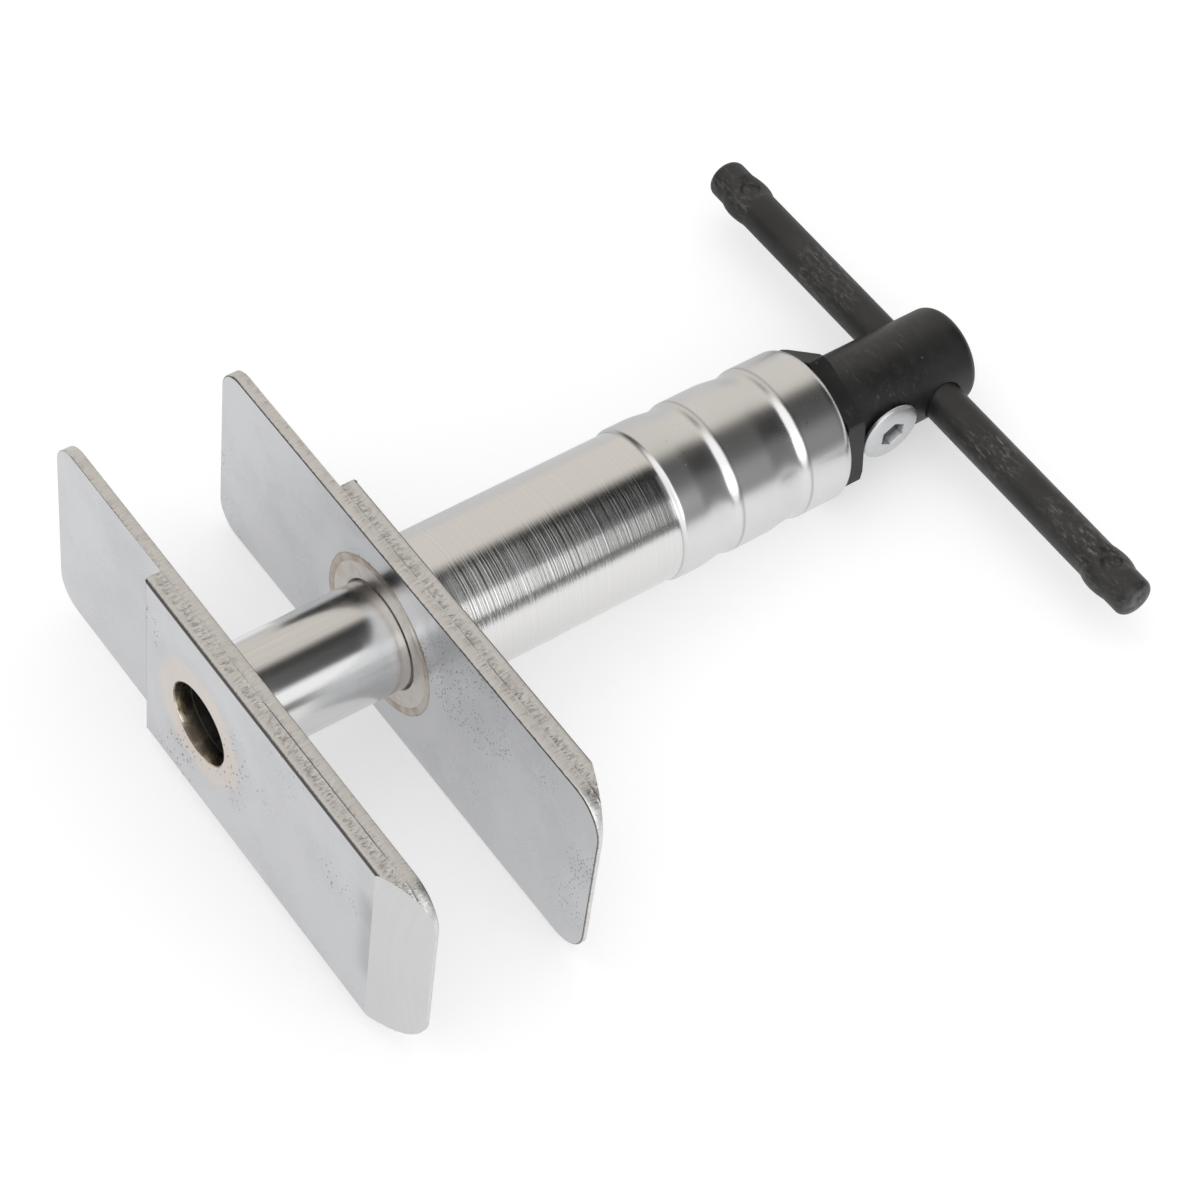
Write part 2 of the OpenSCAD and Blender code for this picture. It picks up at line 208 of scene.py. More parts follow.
def joined(**parts):
    return add_node(tree_of(parts.values()), "ShaderNodeCombineXYZ", parts).outputs[0]


def length_of(vector):
    return add_node(vector.id_data, "ShaderNodeVectorMath", {0: vector}, operation="LENGTH").outputs["Value"]


def noise(place, **values):
    return add_node(place.id_data, "ShaderNodeTexNoise", {"Vector": place, **values}).outputs[0]


def blend_colours(share, first, second):
    node = add_node(share.id_data, "ShaderNodeMix", data_type="RGBA")
    first_input, second_input = [i for i, socket in enumerate(node.inputs) if socket.type == "RGBA"]
    fill(node, {0: share, first_input: first, second_input: second})
    return next(socket for socket in node.outputs if socket.type == "RGBA")


def grey(level):
    return (level, level, level, 1.0)


print("node helpers ready")

# %% [markdown]
# ## Floor and studio
# In the photograph polished steel shows the room: a warm soft light beyond the tool, a white floor, a dark
# ceiling, and a bright panel in front with darkness above it. A plain grey world would leave the metal flat,
# so the world paints that room by direction for reflections, stays white for the camera, and gives the rest a
# plain even light. The lights stand a little askew to the tool, so fine lathe lines throw their reflections
# to and fro.
#
# The tool rests on the rear plate's lower edge and on the hub, so the floor is the plane through both. It is
# lifted to white where it is seen. Mirrors show it a little greyer beyond the barrel, as they do in the
# photograph.

# %% Lay the floor
floor_tilt = math.atan2(-hub_r - low_z, hub_end_x - rear_outer_x)
floor_size = 2.4
floor_mesh = bpy.data.meshes.new("floor")
floor_turn = Matrix.Rotation(-floor_tilt, 4, "Y")
floor_foot = Matrix.Translation(Vector((rear_outer_x, 0, low_z)) * MM)
floor_corners = [(-1, -1), (1, -1), (1, 1), (-1, 1)]
floor_mesh.from_pydata(
    [floor_foot @ floor_turn @ Vector((a * floor_size, b * floor_size, 0)) for a, b in floor_corners],
    [],
    [(0, 1, 2, 3)],
)
floor = put_in_scene("floor", floor_mesh)
print("floor leans", round(math.degrees(floor_tilt), 2), "degrees")

# %% Paint the floor
floor_colour = grey(0.58)
floor_lift = 0.51
beyond_reach = 0.06
behind_reach = 0.03
beyond_shade = 0.34
floor_paint = bpy.data.materials.new("floor_paint")
floor_paint.use_nodes = True
tree = floor_paint.node_tree
tree.nodes.clear()
paint = add_node(tree, "ShaderNodeBsdfDiffuse", {"Color": floor_colour})
rays = add_node(tree, "ShaderNodeLightPath")
seen = calc("MAXIMUM", rays.outputs["Is Camera Ray"], rays.outputs["Is Glossy Ray"])
seen = calc("MAXIMUM", seen, rays.outputs["Is Transmission Ray"])
lift = times(seen, floor_lift)
floor_place = add_node(tree, "ShaderNodeTexCoord").outputs["Object"]
floor_spots = parts_of(floor_place)
beyond = ramp(floor_spots["Y"], 0.0, beyond_reach)
behind = ramp(floor_spots["X"], rear_outer_x * MM, rear_outer_x * MM + behind_reach)
beyond = times(beyond, behind)
shade = times(beyond, beyond_shade, rays.outputs["Is Glossy Ray"])
lift = minus(lift, shade)
glow = add_node(tree, "ShaderNodeEmission", {"Color": grey(1.0), "Strength": lift})
both = add_node(tree, "ShaderNodeAddShader", {0: paint.outputs[0], 1: glow.outputs[0]})
add_node(tree, "ShaderNodeOutputMaterial", {"Surface": both.outputs[0]})
floor_mesh.materials.append(floor_paint)
print("floor painted")

# %% Paint the studio into the world
ceiling_colour = grey(0.018)
far_light_colour = (0.83, 0.79, 0.73, 1.0)
near_wall_colour = grey(0.18)
front_light_colour = grey(1.35)
plain_light = grey(0.85)
usual_reach = 0.4
room_skew = 0.55
front_reach = 0.25
far_edge = (math.radians(-3), math.radians(-21))
near_edge = (math.radians(34), math.radians(50))
front_rear_edge = (0.32, 0.12)
front_end_edge = (-0.75, -0.6)
front_upper_edge = (math.radians(5), math.radians(17))
front_lower_edge = (math.radians(70), math.radians(58))
dark_rear_edge = (0.0, -0.25)
dark_lower_edge = (math.radians(4), math.radians(-8))

world = bpy.data.worlds.new("studio")
bpy.context.scene.world = world
world.use_nodes = True
world.cycles.sampling_method = "NONE"
tree = world.node_tree
tree.nodes.clear()
towards = add_node(tree, "ShaderNodeTexCoord").outputs["Generated"]
axes = parts_of(towards)
to_near = times(axes["Y"], -1.0)
across = calc("ARCTAN2", to_near, axes["Z"])
skew = times(minus(axes["X"], usual_reach), room_skew)
skewed = plus(across, skew)
far_share = ramp(skewed, *far_edge)
near_share = ramp(skewed, *near_edge)
lean = minus(axes["X"], front_reach)
from_above = minus(across, lean)
from_below = plus(across, lean)
front_share = times(
    ramp(axes["X"], *front_rear_edge), ramp(axes["X"], *front_end_edge),
    ramp(from_above, *front_upper_edge), ramp(from_below, *front_lower_edge),
)
dark_share = times(ramp(axes["X"], *dark_rear_edge), ramp(from_above, *dark_lower_edge))
room = blend_colours(far_share, ceiling_colour, far_light_colour)
room = blend_colours(near_share, room, near_wall_colour)
room = blend_colours(dark_share, room, ceiling_colour)
room = blend_colours(front_share, room, front_light_colour)
rays = add_node(tree, "ShaderNodeLightPath")
mirrored = calc("MAXIMUM", rays.outputs["Is Glossy Ray"], rays.outputs["Is Transmission Ray"])
light = blend_colours(mirrored, plain_light, room)
light = blend_colours(rays.outputs["Is Camera Ray"], light, grey(1.0))
background = add_node(tree, "ShaderNodeBackground", {"Color": light})
add_node(tree, "ShaderNodeOutputWorld", {"Surface": background.outputs[0]})
print("studio world painted")

# %% Hang the two panels of light
def light_panel(name, place, target, width, height, level, in_mirrors=True):
    data = bpy.data.lights.new(name, "AREA")
    data.shape = "RECTANGLE"
    data.size = width
    data.size_y = height
    data.energy = level * math.pi * width * height
    panel = put_in_scene(name, data)
    panel.location = place
    panel.rotation_euler = (Vector(target) - Vector(place)).to_track_quat("-Z", "Y").to_euler()
    panel.visible_camera = False
    panel.visible_glossy = in_mirrors
    return panel


near_panel = light_panel(
    "near_panel", place=(0.07, -0.42, 0.25), target=(0.05, 0, 0), width=0.40, height=0.24, level=1.05
)
key_panel = light_panel(
    "key_panel", place=(0.02, 0.35, 0.75), target=(0.08, 0, 0), width=0.7, height=0.5, level=0.6,
    in_mirrors=False,
)
print("panels:", near_panel.name, key_panel.name)

# %% [markdown]
# ## Shared surface effects
# The same marks turn up on most pieces: fine lines from a tool, pits, soft patches and rings of heat tint.
# Each is one node group that puts out a mask or a height, and every finish places it with its own values.
# All of them read object coordinates, so they stay on the piece in every view.

# %% Group for fine lines drawn along one direction
def new_effect(name, output, **inputs):
    """A shader group that takes a place and these inputs, each with its usual value."""
    group = bpy.data.node_groups.new(name, "ShaderNodeTree")
    group.interface.new_socket("Place", in_out="INPUT", socket_type="NodeSocketVector")
    for label, value in inputs.items():
        kind = "NodeSocketFloat" if isinstance(value, float) else "NodeSocketVector"
        group.interface.new_socket(label, in_out="INPUT", socket_type=kind).default_value = value
    group.interface.new_socket(output, in_out="OUTPUT", socket_type="NodeSocketFloat")
    start = group.nodes.new("NodeGroupInput")
    end = group.nodes.new("NodeGroupOutput")
    return group, start.outputs, end.inputs[output]


def end_effect(mask, result):
    group = result.id_data
    group.links.new(mask, result)
    print(group.name, "group made")


lines_effect, given, result = new_effect("fine_lines", "Height", Stretch=(1.0, 1.0, 1.0), Roughness=0.6)
stretched = {0: given["Place"], 1: given["Stretch"]}
stretched = add_node(lines_effect, "ShaderNodeVectorMath", stretched, operation="MULTIPLY").outputs[0]
end_effect(noise(stretched, Scale=1.0, Detail=4.0, Roughness=given["Roughness"]), result)

# %% Group for scattered pits
patch_start, patch_full = 0.46, 0.62
rarity = 2.0
pit_sharpness = 3.0
pits_effect, given, result = new_effect("scattered_pits", "Mask", Density=900.0, Size=0.22, Patchiness=90.0)
cells = {"Vector": given["Place"], "Scale": given["Density"]}
cells = add_node(pits_effect, "ShaderNodeTexVoronoi", cells, feature="F1").outputs
patches = noise(given["Place"], Scale=given["Patchiness"], Detail=3.0)
chance = add_node(pits_effect, "ShaderNodeSeparateColor", {0: cells["Color"]}).outputs[0]
reach = times(ramp(patches, patch_start, patch_full), given["Size"], calc("POWER", chance, rarity))
pit = over(minus(reach, cells["Distance"]), given["Size"])
end_effect(clamped(times(pit, pit_sharpness)), result)

# %% Group for soft patches of wear or dirt
patch_effect, given, result = new_effect("soft_patches", "Mask", Scale=60.0, Detail=5.0, Start=0.45, Full=0.7)
cloud = noise(given["Place"], Scale=given["Scale"], Detail=given["Detail"], Roughness=0.6)
spread = {"Value": cloud, "From Min": given["Start"], "From Max": given["Full"]}
spread = add_node(patch_effect, "ShaderNodeMapRange", spread, interpolation_type="SMOOTHSTEP")
end_effect(spread.outputs["Result"], result)

# %% Group for a ring of heat tint round the tool axis
wander_scale = 320.0
ring_effect, given, result = new_effect(
    "heat_ring", "Mask", Inner=0.008, Outer=0.014, Softness=0.002, Raggedness=0.002
)
axes = parts_of(given["Place"])
wander = minus(noise(given["Place"], Scale=wander_scale, Detail=3.0), 0.5)
radius = plus(length_of(joined(Y=axes["Y"], Z=axes["Z"])), times(wander, given["Raggedness"]))
ring = calc("MINIMUM", minus(given["Outer"], radius), minus(radius, given["Inner"]))
end_effect(clamped(over(ring, given["Softness"])), result)

# %% [markdown]
# ## Finishes
# Each finish is one material: a Principled shader with its constants on its own sockets, and groups that vary
# its colour, roughness and bump. Short helpers start the material, place a group, set colour and roughness
# and add a bump.

# %% Helpers for finishes
def new_finish(name, metallic, roughness):
    material = bpy.data.materials.new(name)
    material.use_nodes = True
    tree = material.node_tree
    tree.nodes.clear()
    shader = add_node(tree, "ShaderNodeBsdfPrincipled", {"Metallic": metallic, "Roughness": roughness})
    add_node(tree, "ShaderNodeOutputMaterial", {"Surface": shader.outputs[0]})
    place = add_node(tree, "ShaderNodeTexCoord").outputs["Object"]
    return material, shader, place


def effect(group, place, **values):
    return add_node(place.id_data, "ShaderNodeGroup", {"Place": place, **values}, node_tree=group).outputs[0]


def kept_value(shader, name):
    """A value that the piece's shape keeps at each of its points."""
    return add_node(shader.id_data, "ShaderNodeAttribute", attribute_name=name).outputs["Fac"]


def coat(shader, colour, matt):
    fill(shader, {"Base Color": colour, "Roughness": matt})


def add_bump(shader, height, distance, strength):
    values = {"Height": height, "Strength": strength, "Distance": distance}
    last = shader.inputs["Normal"].links
    if last:
        values["Normal"] = last[0].from_socket
    bump = add_node(shader.id_data, "ShaderNodeBump", values)
    fill(shader, {"Normal": bump.outputs[0]})


print("finish helpers ready")

# %% [markdown]
# ### Zinc plate
# The plates are rolled steel under thin bright zinc. The faces are satin with faint rolling lines, dark
# specks where the zinc missed a pit, and a pale tint round the hole where the weld on the other side heated
# them. The front plate has a grey smudge in front of its bevel.

# %% Zinc plate faces
zinc_light = (0.56, 0.565, 0.58, 1)
zinc_grey = (0.525, 0.53, 0.55, 1)
heat_cream = (0.73, 0.67, 0.615, 1)
smudge_grey = (0.36, 0.37, 0.38, 1)
speck_dark = (0.14, 0.14, 0.17, 1)
heat_share = 0.85
speck_share = 0.8
smudge_y = (-0.0505, -0.0555)
smudge_top = (0.017, 0.009)
smudge_foot = (-0.015, -0.006)
ring_gloss, heat_matt, speck_matt = 0.1, 0.2, 0.3

zinc_face, shader, place = new_finish("zinc_face", metallic=1.0, roughness=0.27)
rolling = effect(lines_effect, place, Stretch=(900.0, 60.0, 1500.0), Roughness=0.65)
clouds = effect(patch_effect, place, Scale=45.0, Start=0.35, Full=0.75)
specks = effect(pits_effect, place, Density=1350.0, Size=0.4, Patchiness=40.0)
bright_ring = effect(ring_effect, place, Inner=0.0155, Outer=0.023, Softness=0.003, Raggedness=0.002)
warmth = effect(ring_effect, place, Inner=0.006, Outer=0.0142, Softness=0.002, Raggedness=0.003)
spots = parts_of(place)
smudge = times(
    ramp(spots["Y"], *smudge_y), ramp(spots["Z"], *smudge_top), ramp(spots["Z"], *smudge_foot),
    ramp(spots["X"], rear_inner_x * MM, front_inner_x * MM), mixed(clouds, low=0.7, high=1.0),
)
colour = blend_colours(clouds, zinc_light, zinc_grey)
colour = blend_colours(times(warmth, heat_share), colour, heat_cream)
colour = blend_colours(smudge, colour, smudge_grey)
colour = blend_colours(times(specks, speck_share), colour, speck_dark)
matt = minus(mixed(clouds, low=0.24, high=0.34), times(bright_ring, ring_gloss))
matt = plus(plus(matt, times(warmth, heat_matt)), times(specks, speck_matt))
coat(shader, colour, matt)
add_bump(shader, rolling, distance=0.00003, strength=0.35)
print("finish:", zinc_face.name)

# %% [markdown]
# ### Sheared edge
# A guillotine leaves a rolled lip, a smooth burnished band and a torn band with scores across the thickness.
# The torn shape is geometry further down. The finish adds the finest scores, the dark marks and duller,
# warmer look of torn steel, and painted shade: dark lines under the lips and here and there in the seam
# between two plates. They follow how torn each point is and how deep it lies, which the plates keep as
# attributes.

# %% Sheared plate edges
torn_dull = (0.58, 0.575, 0.565, 1)
torn_bright = (0.79, 0.785, 0.775, 1)
grime_brown = (0.46, 0.43, 0.40, 1)
hatch_dark = (0.3, 0.29, 0.275, 1)
# painted shade: the near-black colour of the lines under the rolled lips and along the seam
lip_shade_colour = (0.07, 0.065, 0.06, 1)
grime_share = 0.3
hatch_share = 0.5
lip_shade_share = 0.85
hatch_from, hatch_full = 0.5, 0.66
lip_wander = 0.0004
inner_lip_from, inner_lip_full = 0.26, 0.08
outer_lip_from, outer_lip_full = stack_t - 0.6, stack_t - 0.25
seam_from, seam_full = 0.16, 0.04

sheared_edge, shader, place = new_finish("sheared_edge", metallic=1.0, roughness=0.4)
scores = effect(lines_effect, place, Stretch=(220.0, 2600.0, 2600.0), Roughness=0.7)
grime = effect(patch_effect, place, Scale=240.0, Start=0.5, Full=0.72)
open_seam = effect(patch_effect, place, Scale=70.0, Start=0.45, Full=0.6)
hatch = effect(lines_effect, place, Stretch=(350.0, 1300.0, 1300.0), Roughness=0.6)
torn_band = kept_value(shader, "tear")
hatch = times(ramp(hatch, hatch_from, hatch_full), torn_band)
depth_in_stack = kept_value(shader, "level")
ragged = plus(depth_in_stack, times(minus(scores, 0.5), lip_wander))
inner_lip = ramp(ragged, inner_lip_from * MM, inner_lip_full * MM)
outer_lip = ramp(ragged, outer_lip_from * MM, outer_lip_full * MM)
from_seam = calc("ABSOLUTE", minus(ragged, long_t * MM))
seam = times(ramp(from_seam, seam_from * MM, seam_full * MM), open_seam)
# painted shade under the lips and in the open stretches of the seam between the two plates
painted_lip_shade = calc("MAXIMUM", calc("MAXIMUM", inner_lip, outer_lip), seam)
colour = blend_colours(scores, torn_dull, torn_bright)
colour = blend_colours(times(grime, grime_share), colour, grime_brown)
colour = blend_colours(times(hatch, hatch_share), colour, hatch_dark)
colour = blend_colours(times(painted_lip_shade, lip_shade_share), colour, lip_shade_colour)
coat(shader, colour, mixed(scores, low=0.22, high=0.38))
add_bump(shader, scores, distance=0.00018, strength=0.6)
add_bump(shader, times(hatch, -1.0), distance=0.00015, strength=0.6)
print("finish:", sheared_edge.name)

# %% [markdown]
# ### Ground bevel
# The plates' near ends are ground to a wedge after shearing. The belt leaves slightly bowed lines across the
# bevel, and the plating over them is paler and more even than on the rolled faces.

# %% Ground bevels
belt_bow = 6.0
belt_dull = (0.575, 0.58, 0.58, 1)
belt_bright = (0.665, 0.665, 0.66, 1)
belt_cloud = (0.52, 0.53, 0.54, 1)
cloud_share = 0.2

ground_bevel, shader, place = new_finish("ground_bevel", metallic=1.0, roughness=0.33)
spots = parts_of(place)
bow = times(spots["Z"], spots["Z"], belt_bow)
bowed = joined(X=spots["X"], Y=plus(spots["Y"], bow), Z=spots["Z"])
belt = effect(lines_effect, bowed, Stretch=(500.0, 1600.0, 25.0), Roughness=0.6)
clouds = effect(patch_effect, place, Scale=80.0, Start=0.4, Full=0.75)
colour = blend_colours(belt, belt_dull, belt_bright)
colour = blend_colours(times(clouds, cloud_share), colour, belt_cloud)
coat(shader, colour, mixed(belt, low=0.28, high=0.4))
add_bump(shader, belt, distance=0.00005, strength=0.4)
print("finish:", ground_bevel.name)

# %% [markdown]
# ### Bored hole
# The front hole is cut through the backing plate and darkened by the weld behind it. Its wall is smooth steel
# with lines round the bore and patches of brown scorch.

# %% Hole wall
bore_bright = (0.66, 0.60, 0.50, 1)
scorch_brown = (0.15, 0.125, 0.10, 1)

hole_wall, shader, place = new_finish("hole_wall", metallic=1.0, roughness=0.3)
bore_lines = effect(lines_effect, place, Stretch=(3000.0, 90.0, 90.0), Roughness=0.6)
scorch = effect(patch_effect, place, Scale=180.0, Start=0.35, Full=0.65)
coat(shader, blend_colours(scorch, bore_bright, scorch_brown), mixed(scorch, low=0.12, high=0.36))
add_bump(shader, bore_lines, distance=0.00005, strength=0.5)
print("finish:", hole_wall.name)

# %% [markdown]
# ### Ram and barrel
# The ram is polished along its length, so its reflections are soft, even bands. The barrel's front is turned,
# and the lathe's lines smear each highlight into streaks round the tube, deepest near the plate. Behind the
# shoulder the skin is smooth drawn tube with small nicks and specks of dust, and painted shade lays a dark line
# at the shoulder and at the top of each crimp.

# %% Polished ram
ram_dull = (0.62, 0.62, 0.62, 1)
ram_bright = (0.72, 0.72, 0.71, 1)

polished_ram, shader, place = new_finish("polished_ram", metallic=1.0, roughness=0.12)
polish = effect(lines_effect, place, Stretch=(40.0, 1800.0, 1800.0), Roughness=0.6)
scuffs = effect(patch_effect, place, Scale=150.0, Start=0.55, Full=0.8)
coat(shader, blend_colours(polish, ram_dull, ram_bright), mixed(scuffs, low=0.19, high=0.28))
add_bump(shader, polish, distance=0.00001, strength=0.5)
print("finish:", polished_ram.name)

# %% Turned barrel front
turned_dull = (0.645, 0.64, 0.635, 1)
turned_bright = (0.775, 0.77, 0.76, 1)
shallow_x, deep_x = 0.1, 0.055

turned_steel, shader, place = new_finish("turned_steel", metallic=1.0, roughness=0.2)
lathe_lines = effect(lines_effect, place, Stretch=(1900.0, 1.2, 1.2), Roughness=0.62)
fine_lines = effect(lines_effect, place, Stretch=(11000.0, 5.0, 5.0), Roughness=0.7)
along = parts_of(place)["X"]
cut_depth = mixed(ramp(along, shallow_x, deep_x), low=0.5, high=1.0)
coat(shader, blend_colours(lathe_lines, turned_dull, turned_bright), mixed(fine_lines, low=0.12, high=0.22))
add_bump(shader, times(lathe_lines, cut_depth), distance=0.00018, strength=0.6)
add_bump(shader, fine_lines, distance=0.00001, strength=0.6)
print("finish:", turned_steel.name)

# %% Smooth barrel rear
shoulder_x = 98.0
front_crimp_x = 110.2
crimp_spacing = 16.6
crimp_rise = 2.2
crimp_top_x = front_crimp_x + crimp_rise
groove_w = 0.6
groove_shade_share = 0.45
nick_share = 0.5
tube_light = (0.71, 0.71, 0.71, 1)
tube_grey = (0.67, 0.67, 0.675, 1)
nick_grey = (0.3, 0.3, 0.3, 1)
# painted shade: the colour of the dark lines at the shoulder and the crimp tops
groove_shade_colour = (0.24, 0.235, 0.23, 1)
dust_grey = (0.42, 0.42, 0.41, 1)

drawn_tube, shader, place = new_finish("drawn_tube", metallic=1.0, roughness=0.24)
drawn = effect(lines_effect, place, Stretch=(900.0, 300.0, 300.0), Roughness=0.6)
nicks = effect(pits_effect, place, Density=800.0, Size=0.22, Patchiness=60.0)
dust = effect(pits_effect, place, Density=1500.0, Size=0.2, Patchiness=75.0)
clouds = effect(patch_effect, place, Scale=35.0, Start=0.3, Full=0.8)
along = parts_of(place)["X"]
colour = blend_colours(clouds, tube_light, tube_grey)
colour = blend_colours(times(nicks, nick_share), colour, nick_grey)
# painted shade: a dark line at the shoulder and at the top of each crimp
for groove_x in (shoulder_x, crimp_top_x, crimp_top_x + crimp_spacing):
    from_groove = calc("ABSOLUTE", minus(along, groove_x * MM))
    groove = times(ramp(from_groove, groove_w * MM, 0.0), groove_shade_share)
    colour = blend_colours(groove, colour, groove_shade_colour)
colour = blend_colours(dust, colour, dust_grey)
coat(shader, colour, mixed(clouds, low=0.27, high=0.32))
fill(shader, {"Metallic": minus(1.0, dust)})
add_bump(shader, drawn, distance=0.00001, strength=0.4)
print("finish:", drawn_tube.name)

# %% [markdown]
# ### Welded ends and inner metals
# The barrel's front end and the weld rings are browned by heat, and a weld's outer edge is burnt darkest.
# The weld's shape keeps that edge as an attribute. Inside the barrel are oiled steel, ground bearing steel, a
# brass cage and a bronze nut. They are seen only through the hole or in a cut, so each is a plain machined
# finish with lines and a slight stain.

# %% Heat-stained and machined finishes
mark_share = 0.3
smoothest, roughest = 0.8, 1.4
burnt_from, burnt_full = 0.62, 0.95
burnt_brown = (0.27, 0.20, 0.14, 1)


def machined_finish(name, bright, dull, marks, roughness, bump, stain_scale=140.0, stain=0.4, burnt=False):
    material, shader, place = new_finish(name, metallic=1.0, roughness=roughness)
    lines = effect(lines_effect, place, Stretch=marks, Roughness=0.65)
    stains = effect(patch_effect, place, Scale=stain_scale, Start=0.45, Full=0.75)
    colour = blend_colours(times(stains, stain), (*bright, 1), (*dull, 1))
    colour = blend_colours(times(lines, mark_share), colour, (*dull, 1))
    if burnt:
        edge = kept_value(shader, "edge")
        edge = ramp(edge, burnt_from, burnt_full)
        edge = times(edge, mixed(stains, low=0.45, high=1.0))
        colour = blend_colours(edge, colour, burnt_brown)
    coat(shader, colour, mixed(lines, low=roughness * smoothest, high=roughness * roughest))
    add_bump(shader, lines, distance=bump, strength=0.5)
    return material


round_marks = (2600.0, 60.0, 60.0)
ring_marks = (200.0, 900.0, 900.0)
even_marks = (900.0, 900.0, 900.0)
welded_end = machined_finish(
    "welded_end", bright=(0.66, 0.63, 0.595), dull=(0.44, 0.37, 0.31), marks=even_marks,
    roughness=0.34, bump=0.00003, stain_scale=260.0, stain=0.5,
)
weld_metal = machined_finish(
    "weld_metal", bright=(0.57, 0.54, 0.505), dull=(0.42, 0.34, 0.265), marks=even_marks,
    roughness=0.32, bump=0.00005, stain_scale=170.0, stain=1.5, burnt=True,
)
spindle_steel = machined_finish(
    "spindle_steel", bright=(0.34, 0.34, 0.35), dull=(0.16, 0.15, 0.14), marks=round_marks,
    roughness=0.3, bump=0.00004,
)
bearing_steel = machined_finish(
    "bearing_steel", bright=(0.68, 0.68, 0.68), dull=(0.52, 0.52, 0.52), marks=round_marks,
    roughness=0.14, bump=0.00001,
)
cage_brass = machined_finish(
    "cage_brass", bright=(0.72, 0.54, 0.27), dull=(0.46, 0.32, 0.14), marks=round_marks,
    roughness=0.26, bump=0.00003,
)
nut_bronze = machined_finish(
    "nut_bronze", bright=(0.62, 0.44, 0.22), dull=(0.36, 0.24, 0.12), marks=round_marks,
    roughness=0.3, bump=0.00004,
)
zinc_screw = machined_finish(
    "zinc_screw", bright=(0.70, 0.71, 0.72), dull=(0.50, 0.51, 0.52), marks=ring_marks,
    roughness=0.42, bump=0.00003, stain_scale=500.0, stain=0.3,
)
print("machined finishes:", welded_end.name, weld_metal.name, spindle_steel.name, zinc_screw.name)

# %% [markdown]
# ### Black oxide
# The hub, hexagon and bar are chemically blacked steel. The oxide is nearly black with a soft sheen. Handling
# rubs it to brown-grey streaks, mostly along the bar, a few scratches and chips show bare steel, and the
# bar's tips are scuffed from being dropped.

# %% Black oxide finishes
pale_share = 1.7
chip_share = 0.6
scuff_share = 0.75
cloud_matt = 0.12
rub_from, rub_full = 0.45, 0.75
scratch_from, scratch_full = 0.62, 0.72
tip_from, tip_full = bar_half - 1.4, bar_half - 0.3
scratch_grey = (0.17, 0.162, 0.155, 1)
chip_grey = (0.14, 0.135, 0.13, 1)
scuff_grey = (0.15, 0.15, 0.15, 1)


def oxide_finish(name, black, rub_stretch, rub_share, rub_colour, roughness, worn_tips=False):
    material, shader, place = new_finish(name, metallic=0.0, roughness=roughness)
    cloud = effect(patch_effect, place, Scale=90.0, Start=0.35, Full=0.7)
    handled = effect(patch_effect, place, Scale=55.0, Start=0.42, Full=0.66)
    handled = times(handled, rub_share)
    rubs = effect(lines_effect, place, Stretch=rub_stretch, Roughness=0.7)
    rubs = times(ramp(rubs, rub_from, rub_full), handled)
    scratches = effect(lines_effect, place, Stretch=(1700.0, 170.0, 1000.0), Roughness=0.5)
    scratches = times(ramp(scratches, scratch_from, scratch_full), handled)
    chips = effect(pits_effect, place, Density=700.0, Size=0.2, Patchiness=80.0)
    grain = effect(lines_effect, place, Stretch=(1400.0, 1400.0, 1400.0), Roughness=0.7)
    pale_black = [part * pale_share for part in black]
    colour = blend_colours(cloud, (*black, 1), (*pale_black, 1))
    colour = blend_colours(rubs, colour, (*rub_colour, 1))
    colour = blend_colours(scratches, colour, scratch_grey)
    colour = blend_colours(times(chips, chip_share), colour, chip_grey)
    if worn_tips:
        across = parts_of(place)["Y"]
        from_middle = calc("ABSOLUTE", minus(across, bar_middle * MM))
        scuffs = effect(patch_effect, place, Scale=420.0, Start=0.44, Full=0.62)
        tips = times(ramp(from_middle, tip_from * MM, tip_full * MM), scuffs)
        colour = blend_colours(times(tips, scuff_share), colour, scuff_grey)
    coat(shader, colour, mixed(cloud, low=roughness, high=roughness + cloud_matt))
    add_bump(shader, grain, distance=0.00006, strength=0.35)
    add_bump(shader, rubs, distance=0.00003, strength=0.3)
    return material


black_hub = oxide_finish(
    "black_hub", black=(0.0085, 0.0085, 0.0084), rub_stretch=(900.0, 260.0, 900.0), rub_share=0.28,
    rub_colour=(0.07, 0.066, 0.06), roughness=0.4,
)
black_bar = oxide_finish(
    "black_bar", black=(0.0145, 0.0142, 0.0138), rub_stretch=(1300.0, 520.0, 1300.0), rub_share=0.9,
    rub_colour=(0.14, 0.125, 0.112), roughness=0.42, worn_tips=True,
)
print("oxide finishes:", black_hub.name, black_bar.name)

# %% [markdown]
# ## Turned pieces
# The ram, barrel, spindle, hub and bar are all turned: one profile swept round an axis. Blender's Spin tool
# or Screw modifier would do it too. A short function that joins rings of points keeps every ring where the
# profile says, closes the poles and gives clean faces for the trees that shape some of these blanks further.

# %% Turn a profile round an axis
ROUND = 192


def arc(centre_along, centre_r, radius, start, end, steps):
    """Points of a rounded corner in a profile, from one angle to another in degrees."""
    angles = [math.radians(start + (end - start) * i / steps) for i in range(steps + 1)]
    return [(centre_along + radius * math.sin(a), centre_r + radius * math.cos(a)) for a in angles]


def steps_along(start, end, size):
    count = max(1, round(abs(end - start) / size))
    return [start + (end - start) * i / count for i in range(count + 1)]


def ring_points(along, radius, axis=X, centre=(0, 0, 0), segments=ROUND, turn=0.0):
    """One ring round an axis, in mm; its radius may be a function of the angle."""
    first, second = [a for a in (X, Y, Z) if a != axis]
    points = []
    for i in range(1 if radius == 0 else segments):
        angle = 2 * math.pi * i / segments
        reach = radius(angle) if callable(radius) else radius
        point = Vector(centre)
        point[axis] += along
        point[first] += reach * math.cos(angle + turn)
        point[second] += reach * math.sin(angle + turn)
        points.append(point)
    return points


